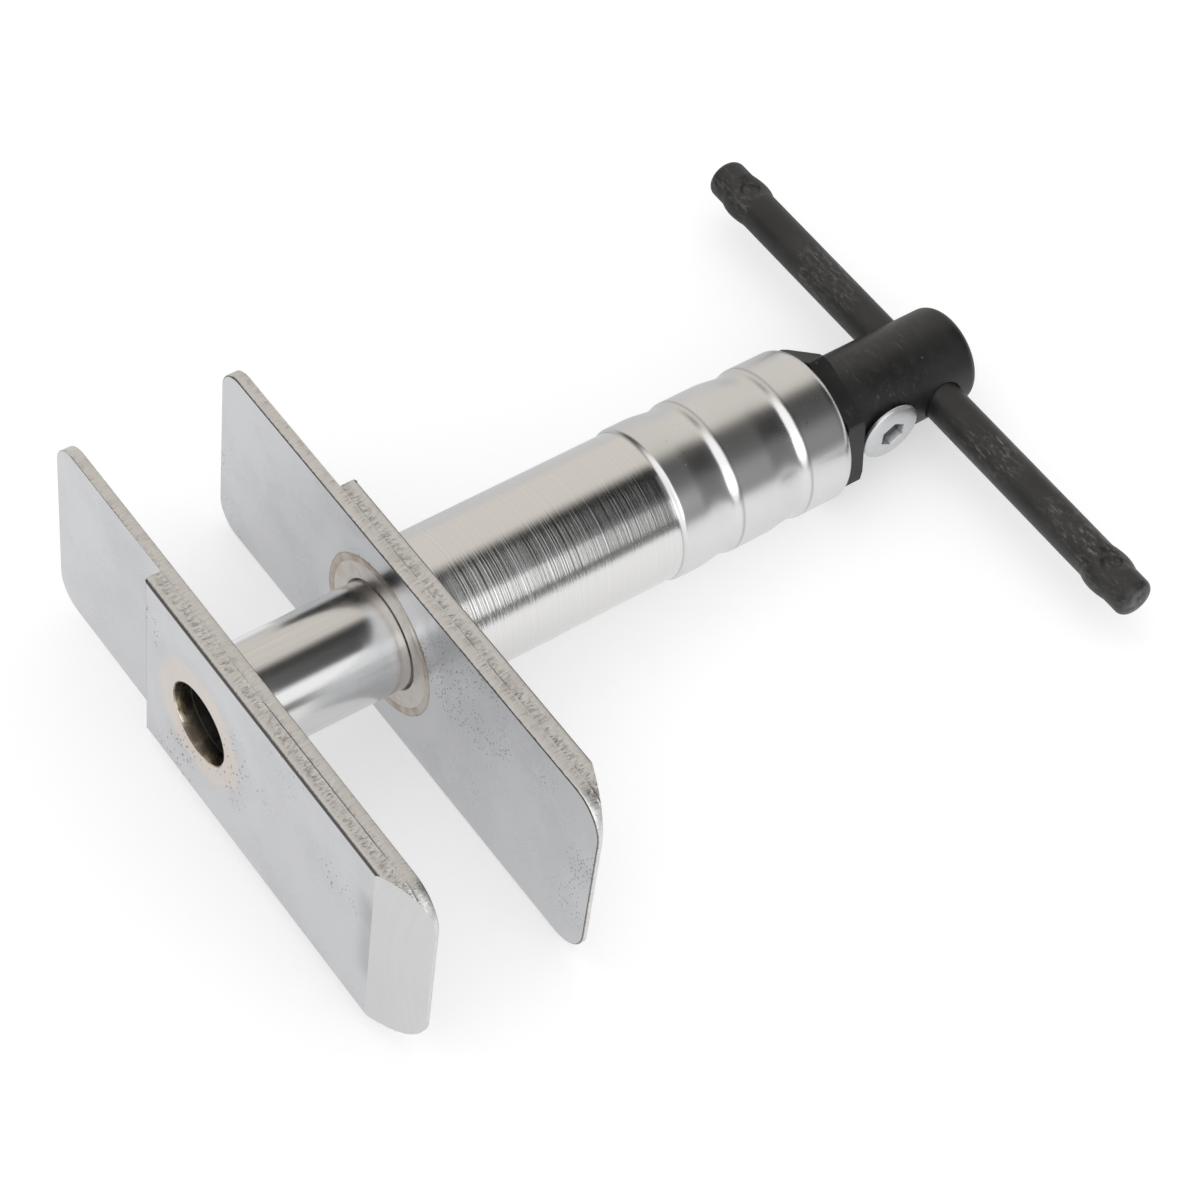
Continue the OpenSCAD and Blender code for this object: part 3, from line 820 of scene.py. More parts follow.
def turned(name, profile, closed=False, capped=False, **ring_values):
    """A mesh turned from (along, radius) rings; closed joins the last ring to the first."""
    mesh_edit = bmesh.new()
    rings = []
    for along, radius in profile:
        points = ring_points(along, radius, **ring_values)
        rings.append([mesh_edit.verts.new(point * MM) for point in points])
    pairs = list(zip(rings, rings[1:] + rings[:1]))
    for ring, following in pairs if closed else pairs[:-1]:
        join_rings(mesh_edit, ring, following)
    if capped:
        mesh_edit.faces.new(rings[-1])
        mesh_edit.faces.new(rings[0])
    return end_edit(mesh_edit, bpy.data.meshes.new(name))


def end_edit(mesh_edit, mesh):
    """Puts a mesh edit into the mesh, with every face turned outward."""
    bmesh.ops.recalc_face_normals(mesh_edit, faces=mesh_edit.faces)
    mesh_edit.to_mesh(mesh)
    mesh_edit.free()
    return mesh


def join_rings(mesh_edit, ring, following):
    count = max(len(ring), len(following))
    if count == 1:
        return
    for i in range(count):
        corners = [ring[i % len(ring)], ring[(i + 1) % len(ring)]]
        corners += [following[(i + 1) % len(following)], following[i % len(following)]]
        mesh_edit.faces.new(list(dict.fromkeys(corners)))


def smooth(mesh, sharp_from=32):
    mesh.shade_smooth()
    mesh.set_sharp_from_angle(angle=math.radians(sharp_from))


def place_piece(mesh, body, nodes, materials):
    """Makes a piece of the tool from a mesh, in place of CAD nodes."""
    face_finishes = [face.material_index for face in mesh.polygons]
    mesh.materials.clear()
    for material in materials:
        mesh.materials.append(material)
    mesh.polygons.foreach_set("material_index", face_finishes)
    piece = put_in_scene(mesh.name, mesh)
    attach(piece, body)
    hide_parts(*nodes)
    print(piece.name, "on", body, "with", len(mesh.polygons), "faces")


print("turning tools ready")

# %% [markdown]
# ## Shaping trees
# Some forms follow a rule: a rolled crimp, a cut thread, a pinched ear, a torn edge. Moving points by hand
# would blur it. Geometry Nodes state the rule once, with named inputs, and shape a plain blank by it, as the
# maker's tool does. The result is kept as a plain mesh.

# %% Helpers for shaping trees
def new_tree(name, sizes):
    group = bpy.data.node_groups.new(name, "GeometryNodeTree")
    group.interface.new_socket("Blank", in_out="INPUT", socket_type="NodeSocketGeometry")
    for label in sizes:
        group.interface.new_socket(label, in_out="INPUT", socket_type="NodeSocketFloat")
    group.interface.new_socket("Finish", in_out="INPUT", socket_type="NodeSocketMaterial")
    group.interface.new_socket("Shaped", in_out="OUTPUT", socket_type="NodeSocketGeometry")
    start = group.nodes.new("NodeGroupInput").outputs
    end = group.nodes.new("NodeGroupOutput").inputs["Shaped"]
    return group, start, end


def end_tree(geometry, start, end, selection=None):
    group = end.id_data
    whole = add_node(group, "GeometryNodeRealizeInstances", {"Geometry": geometry})
    values = {"Geometry": whole.outputs[0], "Material": start["Finish"]}
    if selection is not None:
        values["Selection"] = selection
    painted = add_node(group, "GeometryNodeSetMaterial", values)
    group.links.new(painted.outputs[0], end)
    print(group.name, "has", len(group.nodes), "nodes")


def as_mesh(holder, *tools):
    """The holder's mesh after its modifiers; the holder and its tools go."""
    depsgraph = bpy.context.evaluated_depsgraph_get()
    mesh = bpy.data.meshes.new_from_object(holder.evaluated_get(depsgraph))
    name = holder.data.name
    for thing in (holder, *tools):
        blank = thing.data
        bpy.data.objects.remove(thing)
        bpy.data.meshes.remove(blank)
    mesh.name = name
    return mesh


def shaped(blank, group, finish, **sizes):
    """A blank mesh after a tree has shaped it."""
    holder = put_in_scene(blank.name, blank)
    modifier = holder.modifiers.new(group.name, "NODES")
    modifier.node_group = group
    sockets = {s.name: s.identifier for s in group.interface.items_tree if s.in_out == "INPUT"}
    modifier[sockets["Finish"]] = finish
    for label, value in sizes.items():
        modifier[sockets[label.replace("_", " ")]] = value
    return as_mesh(holder)


def radial_parts(group):
    """The place's own parts, its distance from the tool axis and the direction away from the axis."""
    parts = parts_of(add_node(group, "GeometryNodeInputPosition").outputs[0])
    flat = joined(Y=parts["Y"], Z=parts["Z"])
    outward = add_node(group, "ShaderNodeVectorMath", {0: flat}, operation="NORMALIZE").outputs["Vector"]
    return parts, length_of(flat), outward


def moved(geometry, direction, amount):
    group = geometry.id_data
    offset = add_node(group, "ShaderNodeVectorMath", {0: direction, "Scale": amount}, operation="SCALE")
    values = {"Geometry": geometry, "Offset": offset.outputs["Vector"]}
    return add_node(group, "GeometryNodeSetPosition", values).outputs[0]


print("tree helpers ready")

# %% [markdown]
# ## Barrel
# The barrel is a tube turned thinner in front, with two crimps rolled into it that hold the end nut. Each
# crimp falls gently from the front and rises steeply behind. The blank is a plain tube, and the tree rolls
# the crimps in, less deep inside than outside, as a roller does. The bore's mouth is broken with a small
# chamfer, which leaves the fine dark line round the ram.

# %% Tree that rolls the crimps
inner_share = 0.7
crimp_tree, given, end = new_tree(
    "rolled_crimps", ["Front", "Spacing", "Depth", "Lead", "Rise", "Inside", "Outside"]
)
parts, radius, outward = radial_parts(crimp_tree)


def crimp_bump(middle):
    from_middle = minus(parts["X"], middle)
    behind = calc("GREATER_THAN", from_middle, 0.0)
    side_length = plus(given["Lead"], times(behind, minus(given["Rise"], given["Lead"])))
    share = over(calc("ABSOLUTE", from_middle), side_length)
    share = calc("MINIMUM", share, 1.0)
    wave = calc("COSINE", times(share, math.pi))
    return times(plus(wave, 1.0), 0.5)


front_bump = crimp_bump(given["Front"])
rear_bump = crimp_bump(plus(given["Front"], given["Spacing"]))
skin = add_node(
    crimp_tree, "ShaderNodeMapRange",
    {"Value": radius, "From Min": given["Inside"], "From Max": given["Outside"], "To Min": inner_share},
)
sink = times(plus(front_bump, rear_bump), given["Depth"], skin.outputs["Result"], -1.0)
end_tree(moved(given["Blank"], outward, sink), given, end)

# %% Profile of the barrel
barrel_front_r = 15.4
bore_clearance = 0.05
barrel_bore_r = ram_r + bore_clearance
counterbore_r = 12.3
counterbore_x = 96.12
shoulder_length = 2.6
shoulder_steep = 0.5
shoulder_steps = 12
crimp_depth = 0.6
crimp_lead = 6.5
rim_r = 2.2
rim_start, rim_steps = 6, 10
mouth_r = 0.1
mouth_steps = 4
bore_mouth = 0.45
wall_step = 0.35
front_step = 6
ring_gap = 1

shoulder = []
for share in steps_along(0, 1, 1 / shoulder_steps):
    rise = (1 - math.cos(math.pi * min(1, share / shoulder_steep))) / 2
    radius = barrel_front_r + (barrel_rear_r - barrel_front_r) * rise
    shoulder.append((shoulder_x + shoulder_length * share, radius))
wall_start = shoulder_x + shoulder_length + wall_step
outer_wall = [(x, barrel_rear_r) for x in steps_along(wall_start, rim_x - rim_r, wall_step)]
inner_wall = [(x, counterbore_r) for x in steps_along(rim_x, counterbore_x, 2 * wall_step)]
barrel_profile = [(rear_inner_x, barrel_bore_r + bore_mouth)]
barrel_profile += arc(rear_inner_x + mouth_r, barrel_front_r - mouth_r, mouth_r, -90, 0, mouth_steps)
front_rings = steps_along(rear_inner_x + ring_gap, shoulder_x - ring_gap, front_step)
barrel_profile += [(x, barrel_front_r) for x in front_rings]
barrel_profile += shoulder + outer_wall
barrel_profile += arc(rim_x - rim_r, barrel_rear_r - rim_r, rim_r, rim_start, 90, rim_steps)
barrel_profile += inner_wall
barrel_profile += [(counterbore_x, barrel_bore_r), (rear_inner_x + bore_mouth, barrel_bore_r)]
print("barrel profile has", len(barrel_profile), "rings")

# %% Barrel with its crimps and finishes
barrel_mesh = shaped(
    turned("barrel", barrel_profile, closed=True), crimp_tree, drawn_tube,
    Front=front_crimp_x * MM, Spacing=crimp_spacing * MM, Depth=crimp_depth * MM, Lead=crimp_lead * MM,
    Rise=crimp_rise * MM, Inside=counterbore_r * MM, Outside=barrel_rear_r * MM,
)
smooth(barrel_mesh)
barrel_finishes = [drawn_tube, turned_steel, welded_end, spindle_steel]
for face in barrel_mesh.polygons:
    middle = face.center / MM
    from_axis = math.hypot(middle.y, middle.z)
    finish = drawn_tube
    if middle.x < counterbore_x and from_axis < barrel_bore_r + bore_mouth:
        finish = spindle_steel
    elif middle.x < rear_inner_x + mouth_r or (middle.x < counterbore_x and from_axis < counterbore_r):
        finish = welded_end
    elif middle.x < shoulder_x:
        finish = turned_steel
    face.material_index = barrel_finishes.index(finish)
place_piece(barrel_mesh, "barrel", ["outer_barrel"], barrel_finishes)

# %% [markdown]
# ## Ram
# The ram is a polished tube, welded into the front plate and sliding in the barrel. It is turned with a soft
# edge at both ends.

# %% Ram tube
ram_bore_r = 8.7
ram_edge = 0.4
ram_edge_steps = 4
ram_step = 4
ram_profile = [(ram_front_x, ram_bore_r + ram_edge)]
ram_profile += arc(ram_front_x + ram_edge, ram_r - ram_edge, ram_edge, -90, 0, ram_edge_steps)
ram_rings = steps_along(ram_front_x + ring_gap, ram_rear_x - ring_gap, ram_step)
ram_profile += [(x, ram_r) for x in ram_rings]
ram_profile += arc(ram_rear_x - ram_edge, ram_r - ram_edge, ram_edge, 0, 90, ram_edge_steps)
ram_profile += [(ram_rear_x, ram_bore_r), (ram_front_x + ram_edge, ram_bore_r)]
ram_mesh = turned("ram", ram_profile, closed=True)
smooth(ram_mesh)
place_piece(ram_mesh, "ram", ["ram_tube"], [polished_ram])

# %% [markdown]
# ## Plates
# Each plate stack is two sheared plates, one on the other, ground to a wedge at the near end. A box with a
# bevel modifier would look moulded. Here rings of points follow the outline through the thickness: a rolled
# lip, a smooth band, then a torn band that a tree roughens along the edge, in some stretches more than in
# others.

# %% Tree that tears a sheared edge
level_stretch = 800.0
score_from, score_full = 0.34, 0.7
stretch_length = 0.07
stretch_from, stretch_full = 0.3, 0.62
least_torn = 0.45
tear_tree, given, end = new_tree("torn_edge", ["Depth", "Score Pitch", "Seed"])


def attribute(name, kind):
    node = add_node(tear_tree, "GeometryNodeInputNamedAttribute", data_type=kind)
    node.inputs["Name"].default_value = name
    return node.outputs["Attribute"]


run = over(attribute("run", "FLOAT"), given["Score Pitch"])
level = times(attribute("level", "FLOAT"), level_stretch)
score = noise(joined(X=run, Y=level, Z=given["Seed"]), Scale=1.0, Detail=3.0)
score = ramp(score, score_from, score_full)
torn_here = noise(joined(X=times(run, stretch_length), Z=given["Seed"]), Scale=1.0, Detail=2.0)
torn_here = ramp(torn_here, stretch_from, stretch_full)
score = times(score, mixed(torn_here, low=least_torn, high=1.0), given["Depth"])
tear = times(attribute("tear", "FLOAT"), score)
torn = moved(given["Blank"], attribute("inward", "FLOAT_VECTOR"), tear)
end_tree(torn, given, end, selection=attribute("sheared", "BOOLEAN"))

# %% Outline of a plate
def rounded_path(corners, spacing):
    """Points along straight runs and right-angled round corners, given as (y, z, radius)."""
    points = []
    count = len(corners)
    spots = [Vector((y, z)) for y, z, _ in corners]
    for i in range(count):
        radius = corners[i][2]
        before = (spots[i - 1] - spots[i]).normalized()
        after = (spots[(i + 1) % count] - spots[i]).normalized()
        middle = spots[i] + (before + after) * radius
        turns = max(1, round(radius * math.pi / 2 / spacing))
        for t in range(turns + 1 if radius else 1):
            angle = math.pi / 2 * t / turns
            points.append(middle - after * radius * math.cos(angle) - before * radius * math.sin(angle))
        next_radius = corners[(i + 1) % count][2]
        start = spots[i] + after * radius
        length = (spots[(i + 1) % count] - spots[i]).length - radius - next_radius
        steps = max(1, round(length / spacing))
        points += [start + after * length * s / steps for s in range(1, steps)]
    return points


def inward_normals(points):
    normals = []
    for i, point in enumerate(points):
        ahead = points[(i + 1) % len(points)] - points[i - 1]
        normals.append(Vector((-ahead.y, ahead.x)).normalized())
    return normals


print("outline tools ready")

# %% Build one sheared plate
plate_finishes = [zinc_face, sheared_edge, hole_wall, ground_bevel]
edge_spacing = 0.18
hole_segments = 128


def sheared_plate(name, corners, rings, holes, inner_x, outward):
    """rings are (depth, inset, tear) through the thickness and holes (depth, radius), from face to face."""
    outline = rounded_path(corners, edge_spacing)
    inward = inward_normals(outline)
    mesh_edit = bmesh.new()
    kept = []
    edge_loops = []
    for depth, inset, torn in rings:
        loop = []
        travelled = 0.0
        for i, point in enumerate(outline):
            spot = point + inward[i] * inset
            loop.append(mesh_edit.verts.new(Vector((inner_x + outward * depth, spot.x, spot.y)) * MM))
            travelled += (point - outline[i - 1]).length if i else 0.0
            kept.append((torn, depth * MM, travelled * MM, (0.0, inward[i].x, inward[i].y)))
        edge_loops.append(loop)
    hole_loops = []
    for depth, radius in holes:
        points = ring_points(inner_x + outward * depth, radius, segments=hole_segments)
        hole_loops.append([mesh_edit.verts.new(point * MM) for point in points])
        kept += [(0.0, 0.0, 0.0, (0.0, 0.0, 0.0))] * hole_segments
    for first, second in zip(edge_loops, edge_loops[1:]):
        join_rings(mesh_edit, first, second)
    edge_faces = len(mesh_edit.faces)
    for first, second in zip(hole_loops, hole_loops[1:]):
        join_rings(mesh_edit, first, second)
    wall_faces = len(mesh_edit.faces)
    for end_of in (0, -1):
        loops = (edge_loops[end_of], hole_loops[end_of])
        rims = [mesh_edit.edges.get((a, b)) for loop in loops for a, b in zip(loop, loop[1:] + loop[:1])]
        bmesh.ops.triangle_fill(mesh_edit, edges=rims, use_beauty=True)
    mesh_edit.faces.ensure_lookup_table()
    for face in mesh_edit.faces[edge_faces:wall_faces]:
        face.material_index = plate_finishes.index(hole_wall)
    mesh = end_edit(mesh_edit, bpy.data.meshes.new(name))
    tear, level, run, push = zip(*kept)
    for label, kind, values in (("tear", "FLOAT", tear), ("level", "FLOAT", level), ("run", "FLOAT", run)):
        mesh.attributes.new(label, kind, "POINT").data.foreach_set("value", values)
    flat_push = [c for vector in push for c in vector]
    mesh.attributes.new("inward", "FLOAT_VECTOR", "POINT").data.foreach_set("vector", flat_push)
    marks = [i < edge_faces for i in range(len(mesh.polygons))]
    mesh.attributes.new("sheared", "BOOLEAN", "FACE").data.foreach_set("value", marks)
    return mesh


print("plate builder ready")

# %% Grind the bevel
bevel_length = 11.5
bevel_tip_t = 0.9


def ground(mesh, inner_x, outward):
    """Cuts a plate by the bevel's plane and closes the cut."""
    mesh_edit = bmesh.new()
    mesh_edit.from_mesh(mesh)
    foot = Vector((inner_x + outward * bevel_tip_t, near_y, 0)) * MM
    slope = Vector((outward * bevel_length, bevel_tip_t - stack_t, 0)).normalized()
    everything = mesh_edit.verts[:] + mesh_edit.edges[:] + mesh_edit.faces[:]
    bmesh.ops.bisect_plane(mesh_edit, geom=everything, plane_co=foot, plane_no=slope, clear_outer=True)
    rims = [e for e in mesh_edit.edges if len(e.link_faces) == 1]
    known = set(mesh_edit.faces)
    bmesh.ops.triangle_fill(mesh_edit, edges=rims, use_beauty=True)
    for face in mesh_edit.faces:
        if face not in known:
            face.material_index = plate_finishes.index(ground_bevel)
    end_edit(mesh_edit, mesh)
    return len(rims)


print("bevel tool ready")

# %% Sizes of the four plates
far_corner_r = 6.0
near_corner_r = 8.0
front_hole_r = 8.4
seat_gap = 0.02
weld_w = 0.9
lip = 0.34
outer_lip_inset = 0.62
hole_lip = 0.3
long_corners = [
    (near_y, low_z, near_corner_r), (far_y, low_z, far_corner_r),
    (far_y, high_z, far_corner_r), (near_y, high_z, near_corner_r),
]
backing_corners = [
    (near_y, low_z, near_corner_r), (step_y, low_z, 0.0),
    (step_y, high_z, 0.0), (near_y, high_z, near_corner_r),
]
# Each ring is (depth, inset, tear) through the thickness, with lengths in millimetres.
long_rings = [
    (0.0, lip, 0), (0.07, 0.17, 0), (0.2, 0.05, 0), (0.4, 0.0, 0), (1.2, 0.0, 0.05), (1.6, 0.0, 0.25),
    (1.9, 0.0, 0.45), (2.2, 0.0, 0.5), (2.38, 0.01, 0.3), (2.46, 0.03, 0), (long_t, 0.08, 0),
]
backing_rings = [
    (long_t, 0.08, 0), (2.54, 0.03, 0), (2.62, 0.01, 0.5), (2.85, 0.0, 0.9), (3.15, 0.0, 1.0),
    (3.5, 0.0, 1.0), (3.85, 0.0, 1.0), (4.2, 0.0, 0.75), (4.5, 0.0, 0.35), (4.8, 0.0, 0.05),
    (5.1, 0.0, 0), (5.45, 0.06, 0), (5.72, 0.22, 0), (stack_t, outer_lip_inset, 0),
]


def weld_hole(tube_r):
    radius = tube_r + seat_gap
    return [(0.0, radius + weld_w), (weld_w, radius), (long_t, radius)]


def open_hole(radius):
    return [(long_t, radius), (stack_t - hole_lip, radius), (stack_t - hole_lip / 3, radius + hole_lip / 4),
            (stack_t, radius + hole_lip)]


barrel_hole = [(long_t, barrel_front_r + seat_gap), (stack_t, barrel_front_r + seat_gap)]
plates = {
    "front_long": ("ram", "front_long_plate", long_corners, long_rings, weld_hole(ram_r)),
    "front_backing": ("ram", "front_backing_plate", backing_corners, backing_rings, open_hole(front_hole_r)),
    "rear_long": ("barrel", "rear_long_plate", long_corners, long_rings, weld_hole(barrel_front_r)),
    "rear_backing": ("barrel", "rear_backing_plate", backing_corners, backing_rings, barrel_hole),
}
print("plates to make:", ", ".join(plates))

# %% Shear, tear and grind the plates
tear_depth = 0.21
score_pitch = 0.36
plate_sharp = 40
for seed, (name, (body, node, corners, rings, holes)) in enumerate(plates.items()):
    inner_x, outward = (front_inner_x, -1) if body == "ram" else (rear_inner_x, 1)
    blank = sheared_plate(name, corners, rings, holes, inner_x, outward)
    for finish in plate_finishes:
        blank.materials.append(finish)
    mesh = shaped(
        blank, tear_tree, sheared_edge, Depth=tear_depth * MM, Score_Pitch=score_pitch * MM, Seed=float(seed)
    )
    cut = ground(mesh, inner_x, outward)
    smooth(mesh, plate_sharp)
    for face in mesh.polygons:
        face.use_smooth = plate_finishes[face.material_index] in (sheared_edge, hole_wall)
    place_piece(mesh, body, [node], plate_finishes)
    print(name, "ground along", cut, "edges")

# %% [markdown]
# ## Welds
# Each tube is welded to its plates from the inner side, and the bead is ground nearly flush. That leaves a
# flat ring whose outer edge wanders. A plain ring would look like a washer, so a tree lets the edge of a
# turned ring wander, ripples its face a little and stores how near the edge each point is, for the burnt
# colour there.

# %% Tree that lets a weld wander
wander_grain = 260.0
ripple_grain = 700.0
weld_tree, given, end = new_tree("wandering_weld", ["Tube Radius", "Width", "Wander", "Ripple", "Seed"])
parts, radius, outward = radial_parts(weld_tree)
edge_share = clamped(over(minus(radius, given["Tube Radius"]), given["Width"]))
spot = add_node(weld_tree, "GeometryNodeInputPosition").outputs[0]


def weld_noise(scale):
    values = {"Vector": spot, "W": given["Seed"], "Scale": scale, "Detail": 3.0}
    height = add_node(weld_tree, "ShaderNodeTexNoise", values, noise_dimensions="4D").outputs[0]
    return times(minus(height, 0.5), 2.0)


sideways = times(weld_noise(wander_grain), edge_share, given["Wander"])
lift = times(weld_noise(ripple_grain), edge_share, given["Ripple"])
wandered = moved(given["Blank"], outward, sideways)
rippled = moved(wandered, (1.0, 0.0, 0.0), lift)
marked = add_node(
    weld_tree, "GeometryNodeStoreNamedAttribute", {"Geometry": rippled, "Name": "edge"}, domain="POINT"
)
weld_tree.links.new(edge_share, marked.inputs["Value"])
end_tree(marked.outputs[0], given, end)

# %% Welds
weld_proud = 0.07
weld_lap = 0.35
weld_feather = 0.5
weld_wander = 0.22
weld_ripple = 0.05
weld_sharp = 60


def add_weld(name, body, node, face_x, outward, tube_r, seed):
    crown = tube_r + weld_w / 2
    profile = [
        (face_x + outward * weld_w, tube_r + seat_gap),
        (face_x, tube_r - weld_lap),
        (face_x - outward * weld_proud, tube_r),
        (face_x - outward * weld_proud, crown),
        (face_x - outward * weld_proud, tube_r + weld_w),
        (face_x, tube_r + weld_w + weld_feather),
    ]
    mesh = shaped(
        turned(name, profile, closed=True), weld_tree, weld_metal,
        Tube_Radius=tube_r * MM, Width=(weld_w + weld_feather) * MM,
        Wander=weld_wander * MM, Ripple=weld_ripple * MM, Seed=seed,
    )
    smooth(mesh, weld_sharp)
    place_piece(mesh, body, [node], [weld_metal])


add_weld("front_bead", "ram", "front_weld", front_inner_x, outward=-1, tube_r=ram_r, seed=1.5)
add_weld("rear_bead", "barrel", "rear_weld", rear_inner_x, outward=1, tube_r=barrel_front_r, seed=4.2)

# %% [markdown]
# ## End nut
# The end nut's hexagon shows behind the barrel's rim, and its shank stands inside, a little clear of the
# crimps. The hexagon's corners are turned off at the rear face, so each flat ends in a curve there. A
# cylinder of six sides would miss that. Here each ring takes the smaller of the hexagon's and the chamfer
# cone's radius.

# %% Hexagon and its shank
hex_across_flats = 26.5
hex_turn = math.radians(21)
hex_corner_r = hex_across_flats / 2 / math.cos(math.pi / 6)
hex_chamfer_slope = math.tan(math.radians(30))
nut_bore_r = 5.8
shank_front_x = span("hex_end_nut", X)[0]
shank_clearance = 0.5
shank_r = counterbore_r - shank_clearance
hex_chamfer = 0.8
hex_worn = 0.12
hex_steps = 22
hex_sharp = 24


def hexagon(across_flats, turn=0.0, limit_r=math.inf):
    """The radius of a ring at an angle: a hexagon, cut down to a circle."""
    def radius_at(angle):
        sector = (angle - turn + math.pi / 6) % (math.pi / 3) - math.pi / 6
        return min(across_flats / 2 / math.cos(sector), limit_r)

    return radius_at


nut_profile = []
for x in steps_along(rim_x, hex_rear_x, (hex_rear_x - rim_x) / hex_steps):
    cone_r = hex_corner_r - hex_chamfer + (hex_rear_x - x) / hex_chamfer_slope
    limit_r = min(cone_r, hex_corner_r - hex_worn)
    nut_profile.append((x, hexagon(hex_across_flats, math.pi / 6, limit_r)))
nut_profile += [(hex_rear_x, nut_bore_r), (shank_front_x, nut_bore_r)]
nut_profile += [(shank_front_x, shank_r), (rim_x, shank_r)]
hex_mesh = turned("hexagon", nut_profile, closed=True, turn=hex_turn)
smooth(hex_mesh, hex_sharp)
place_piece(hex_mesh, "barrel", ["hex_end_nut"], [black_hub])

# %% [markdown]
# ## Spindle
# The drive thread stands inside the ram and shows through the front hole. The CAD solid is a plain rod, and a
# tree cuts the thread into it: the depth at each point follows from its angle and its place along the rod.

# %% Tree that cuts a thread
flank_from, flank_full = 0.12, 0.9
thread_tree, given, end = new_tree("cut_thread", ["Start", "End", "Pitch", "Depth", "Run Out"])
parts, radius, outward = radial_parts(thread_tree)
turn = over(calc("ARCTAN2", parts["Z"], parts["Y"]), 2 * math.pi)
phase = calc("FRACT", minus(over(parts["X"], given["Pitch"]), turn))
valley = minus(times(phase, 2.0), 1.0)
flank = ramp(calc("ABSOLUTE", valley), flank_from, flank_full)
from_start = minus(parts["X"], given["Start"])
from_end = minus(given["End"], parts["X"])
within = over(calc("MINIMUM", from_start, from_end), given["Run Out"])
cut = times(flank, clamped(within), times(given["Depth"], -1.0))
end_tree(moved(given["Blank"], outward, cut), given, end)

# %% Spindle
thread_r = 6.0
thread_pitch = 1.75
thread_depth = 1.0
tail_r = 5.75
collar_r = 10.5
collar_x, collar_rear_x = 97.12, 100.62
tip_chamfer = 1.2
tail_chamfer = 1
thread_end_gap = 1
run_out = 2
steps_a_turn = 12
tail_step = 8
spindle_segments = 72
spindle_sharp = 50
spindle_profile = [(tip_x, 0), (tip_x, thread_r - tip_chamfer)]
thread_rings = steps_along(tip_x + tip_chamfer, collar_x, thread_pitch / steps_a_turn)
spindle_profile += [(x, thread_r) for x in thread_rings]
spindle_profile += [(collar_x, collar_r), (collar_rear_x, collar_r), (collar_rear_x, tail_r)]
tail_rings = steps_along(collar_rear_x + ring_gap, tail_end_x - tail_chamfer, tail_step)
spindle_profile += [(x, tail_r) for x in tail_rings]
spindle_profile += [(tail_end_x, tail_r - tail_chamfer), (tail_end_x, 0)]
spindle_mesh = shaped(
    turned("spindle", spindle_profile, segments=spindle_segments), thread_tree, spindle_steel,
    Start=tip_x * MM, End=(collar_x - thread_end_gap) * MM, Pitch=thread_pitch * MM, Depth=thread_depth * MM,
    Run_Out=run_out * MM,
)
smooth(spindle_mesh, spindle_sharp)
place_piece(spindle_mesh, "spindle", ["drive_spindle"], [spindle_steel])

# %% [markdown]
# ## Hub and bar
# The hub is a black turned block on the spindle's tail, with a cross hole for the bar. The hole is cut with a
# Boolean, which follows the round wall exactly. The bar is a plain rod with a swaged ear near each end that
# keeps it in the hub. A tree squeezes the rod top and bottom, lets it swell to the sides, and leaves the
# round dimple of the punch that did it.

# %% Hub with its cross hole
hub_front_chamfer = 0.6
hub_end_r = 2.2
hub_socket_depth = 16
hub_socket_r = 5.77
bar_clearance = 0.25
bar_hole_r = bar_r + bar_clearance
hub_step = 1.5
hub_end_start, hub_end_steps = 9, 9
hub_sharp = 30
cutter_half = 30
cutter_segments = 96
hub_profile = [(hub_front_x + hub_socket_depth, 0), (hub_front_x + hub_socket_depth, hub_socket_r)]
hub_profile += [(hub_front_x, hub_socket_r), (hub_front_x, hub_r - hub_front_chamfer)]
hub_wall = steps_along(hub_front_x + hub_front_chamfer, hub_end_x - hub_end_r, hub_step)
hub_profile += [(x, hub_r) for x in hub_wall]
hub_profile += arc(hub_end_x - hub_end_r, hub_r - hub_end_r, hub_end_r, hub_end_start, 90, hub_end_steps)
hub_profile += [(hub_end_x, 0)]
hub_mesh = turned("hub", hub_profile)
cutter_profile = [(-cutter_half, 0), (-cutter_half, bar_hole_r), (cutter_half, bar_hole_r), (cutter_half, 0)]
cutter_mesh = turned("hub_cutter", cutter_profile, axis=Y, centre=(bar_x, 0, 0), segments=cutter_segments)


def cut_away(mesh, tool_mesh):
    """The mesh with another one cut out of it."""
    holder = put_in_scene(mesh.name, mesh)
    tool = put_in_scene(tool_mesh.name, tool_mesh)
    modifier = holder.modifiers.new("cut", "BOOLEAN")
    modifier.operation = "DIFFERENCE"
    modifier.solver = "EXACT"
    modifier.object = tool
    return as_mesh(holder, tool)


hub_mesh = cut_away(hub_mesh, cutter_mesh)
smooth(hub_mesh, hub_sharp)
place_piece(hub_mesh, "spindle", ["handle_hub"], [black_hub])

# %% Tree that swages the bar's ears
dimple_edge, dimple_floor = 1.05, 0.84
flattening = 3.0
swage_tree, given, end = new_tree(
    "swaged_ears", ["Middle", "Centre", "Ear Place", "Ear Length", "Proud", "Pinch", "Radius", "Punch"]
)
parts = parts_of(add_node(swage_tree, "GeometryNodeInputPosition").outputs[0])
along = calc("ABSOLUTE", minus(parts["Y"], given["Middle"]))
along = calc("ABSOLUTE", minus(along, given["Ear Place"]))
share = over(times(along, 2.0), given["Ear Length"])
lens = minus(1.0, times(share, share))
lens = calc("MAXIMUM", lens, 0.0)
beside = minus(parts["X"], given["Centre"])
side = over(beside, given["Radius"])
swell = times(lens, side, given["Proud"])
height = over(parts["Z"], given["Radius"])
pinch = times(calc("POWER", height, flattening), lens)
from_punch = over(length_of(joined(X=beside, Y=along)), given["Punch"])
dimple = ramp(from_punch, dimple_edge, dimple_floor)
dimple = times(dimple, calc("SIGN", parts["Z"]))
pressed = times(plus(pinch, dimple), given["Pinch"])
shift = joined(X=swell, Z=times(pressed, -1.0))
swaged = add_node(swage_tree, "GeometryNodeSetPosition", {"Geometry": given["Blank"], "Offset": shift})
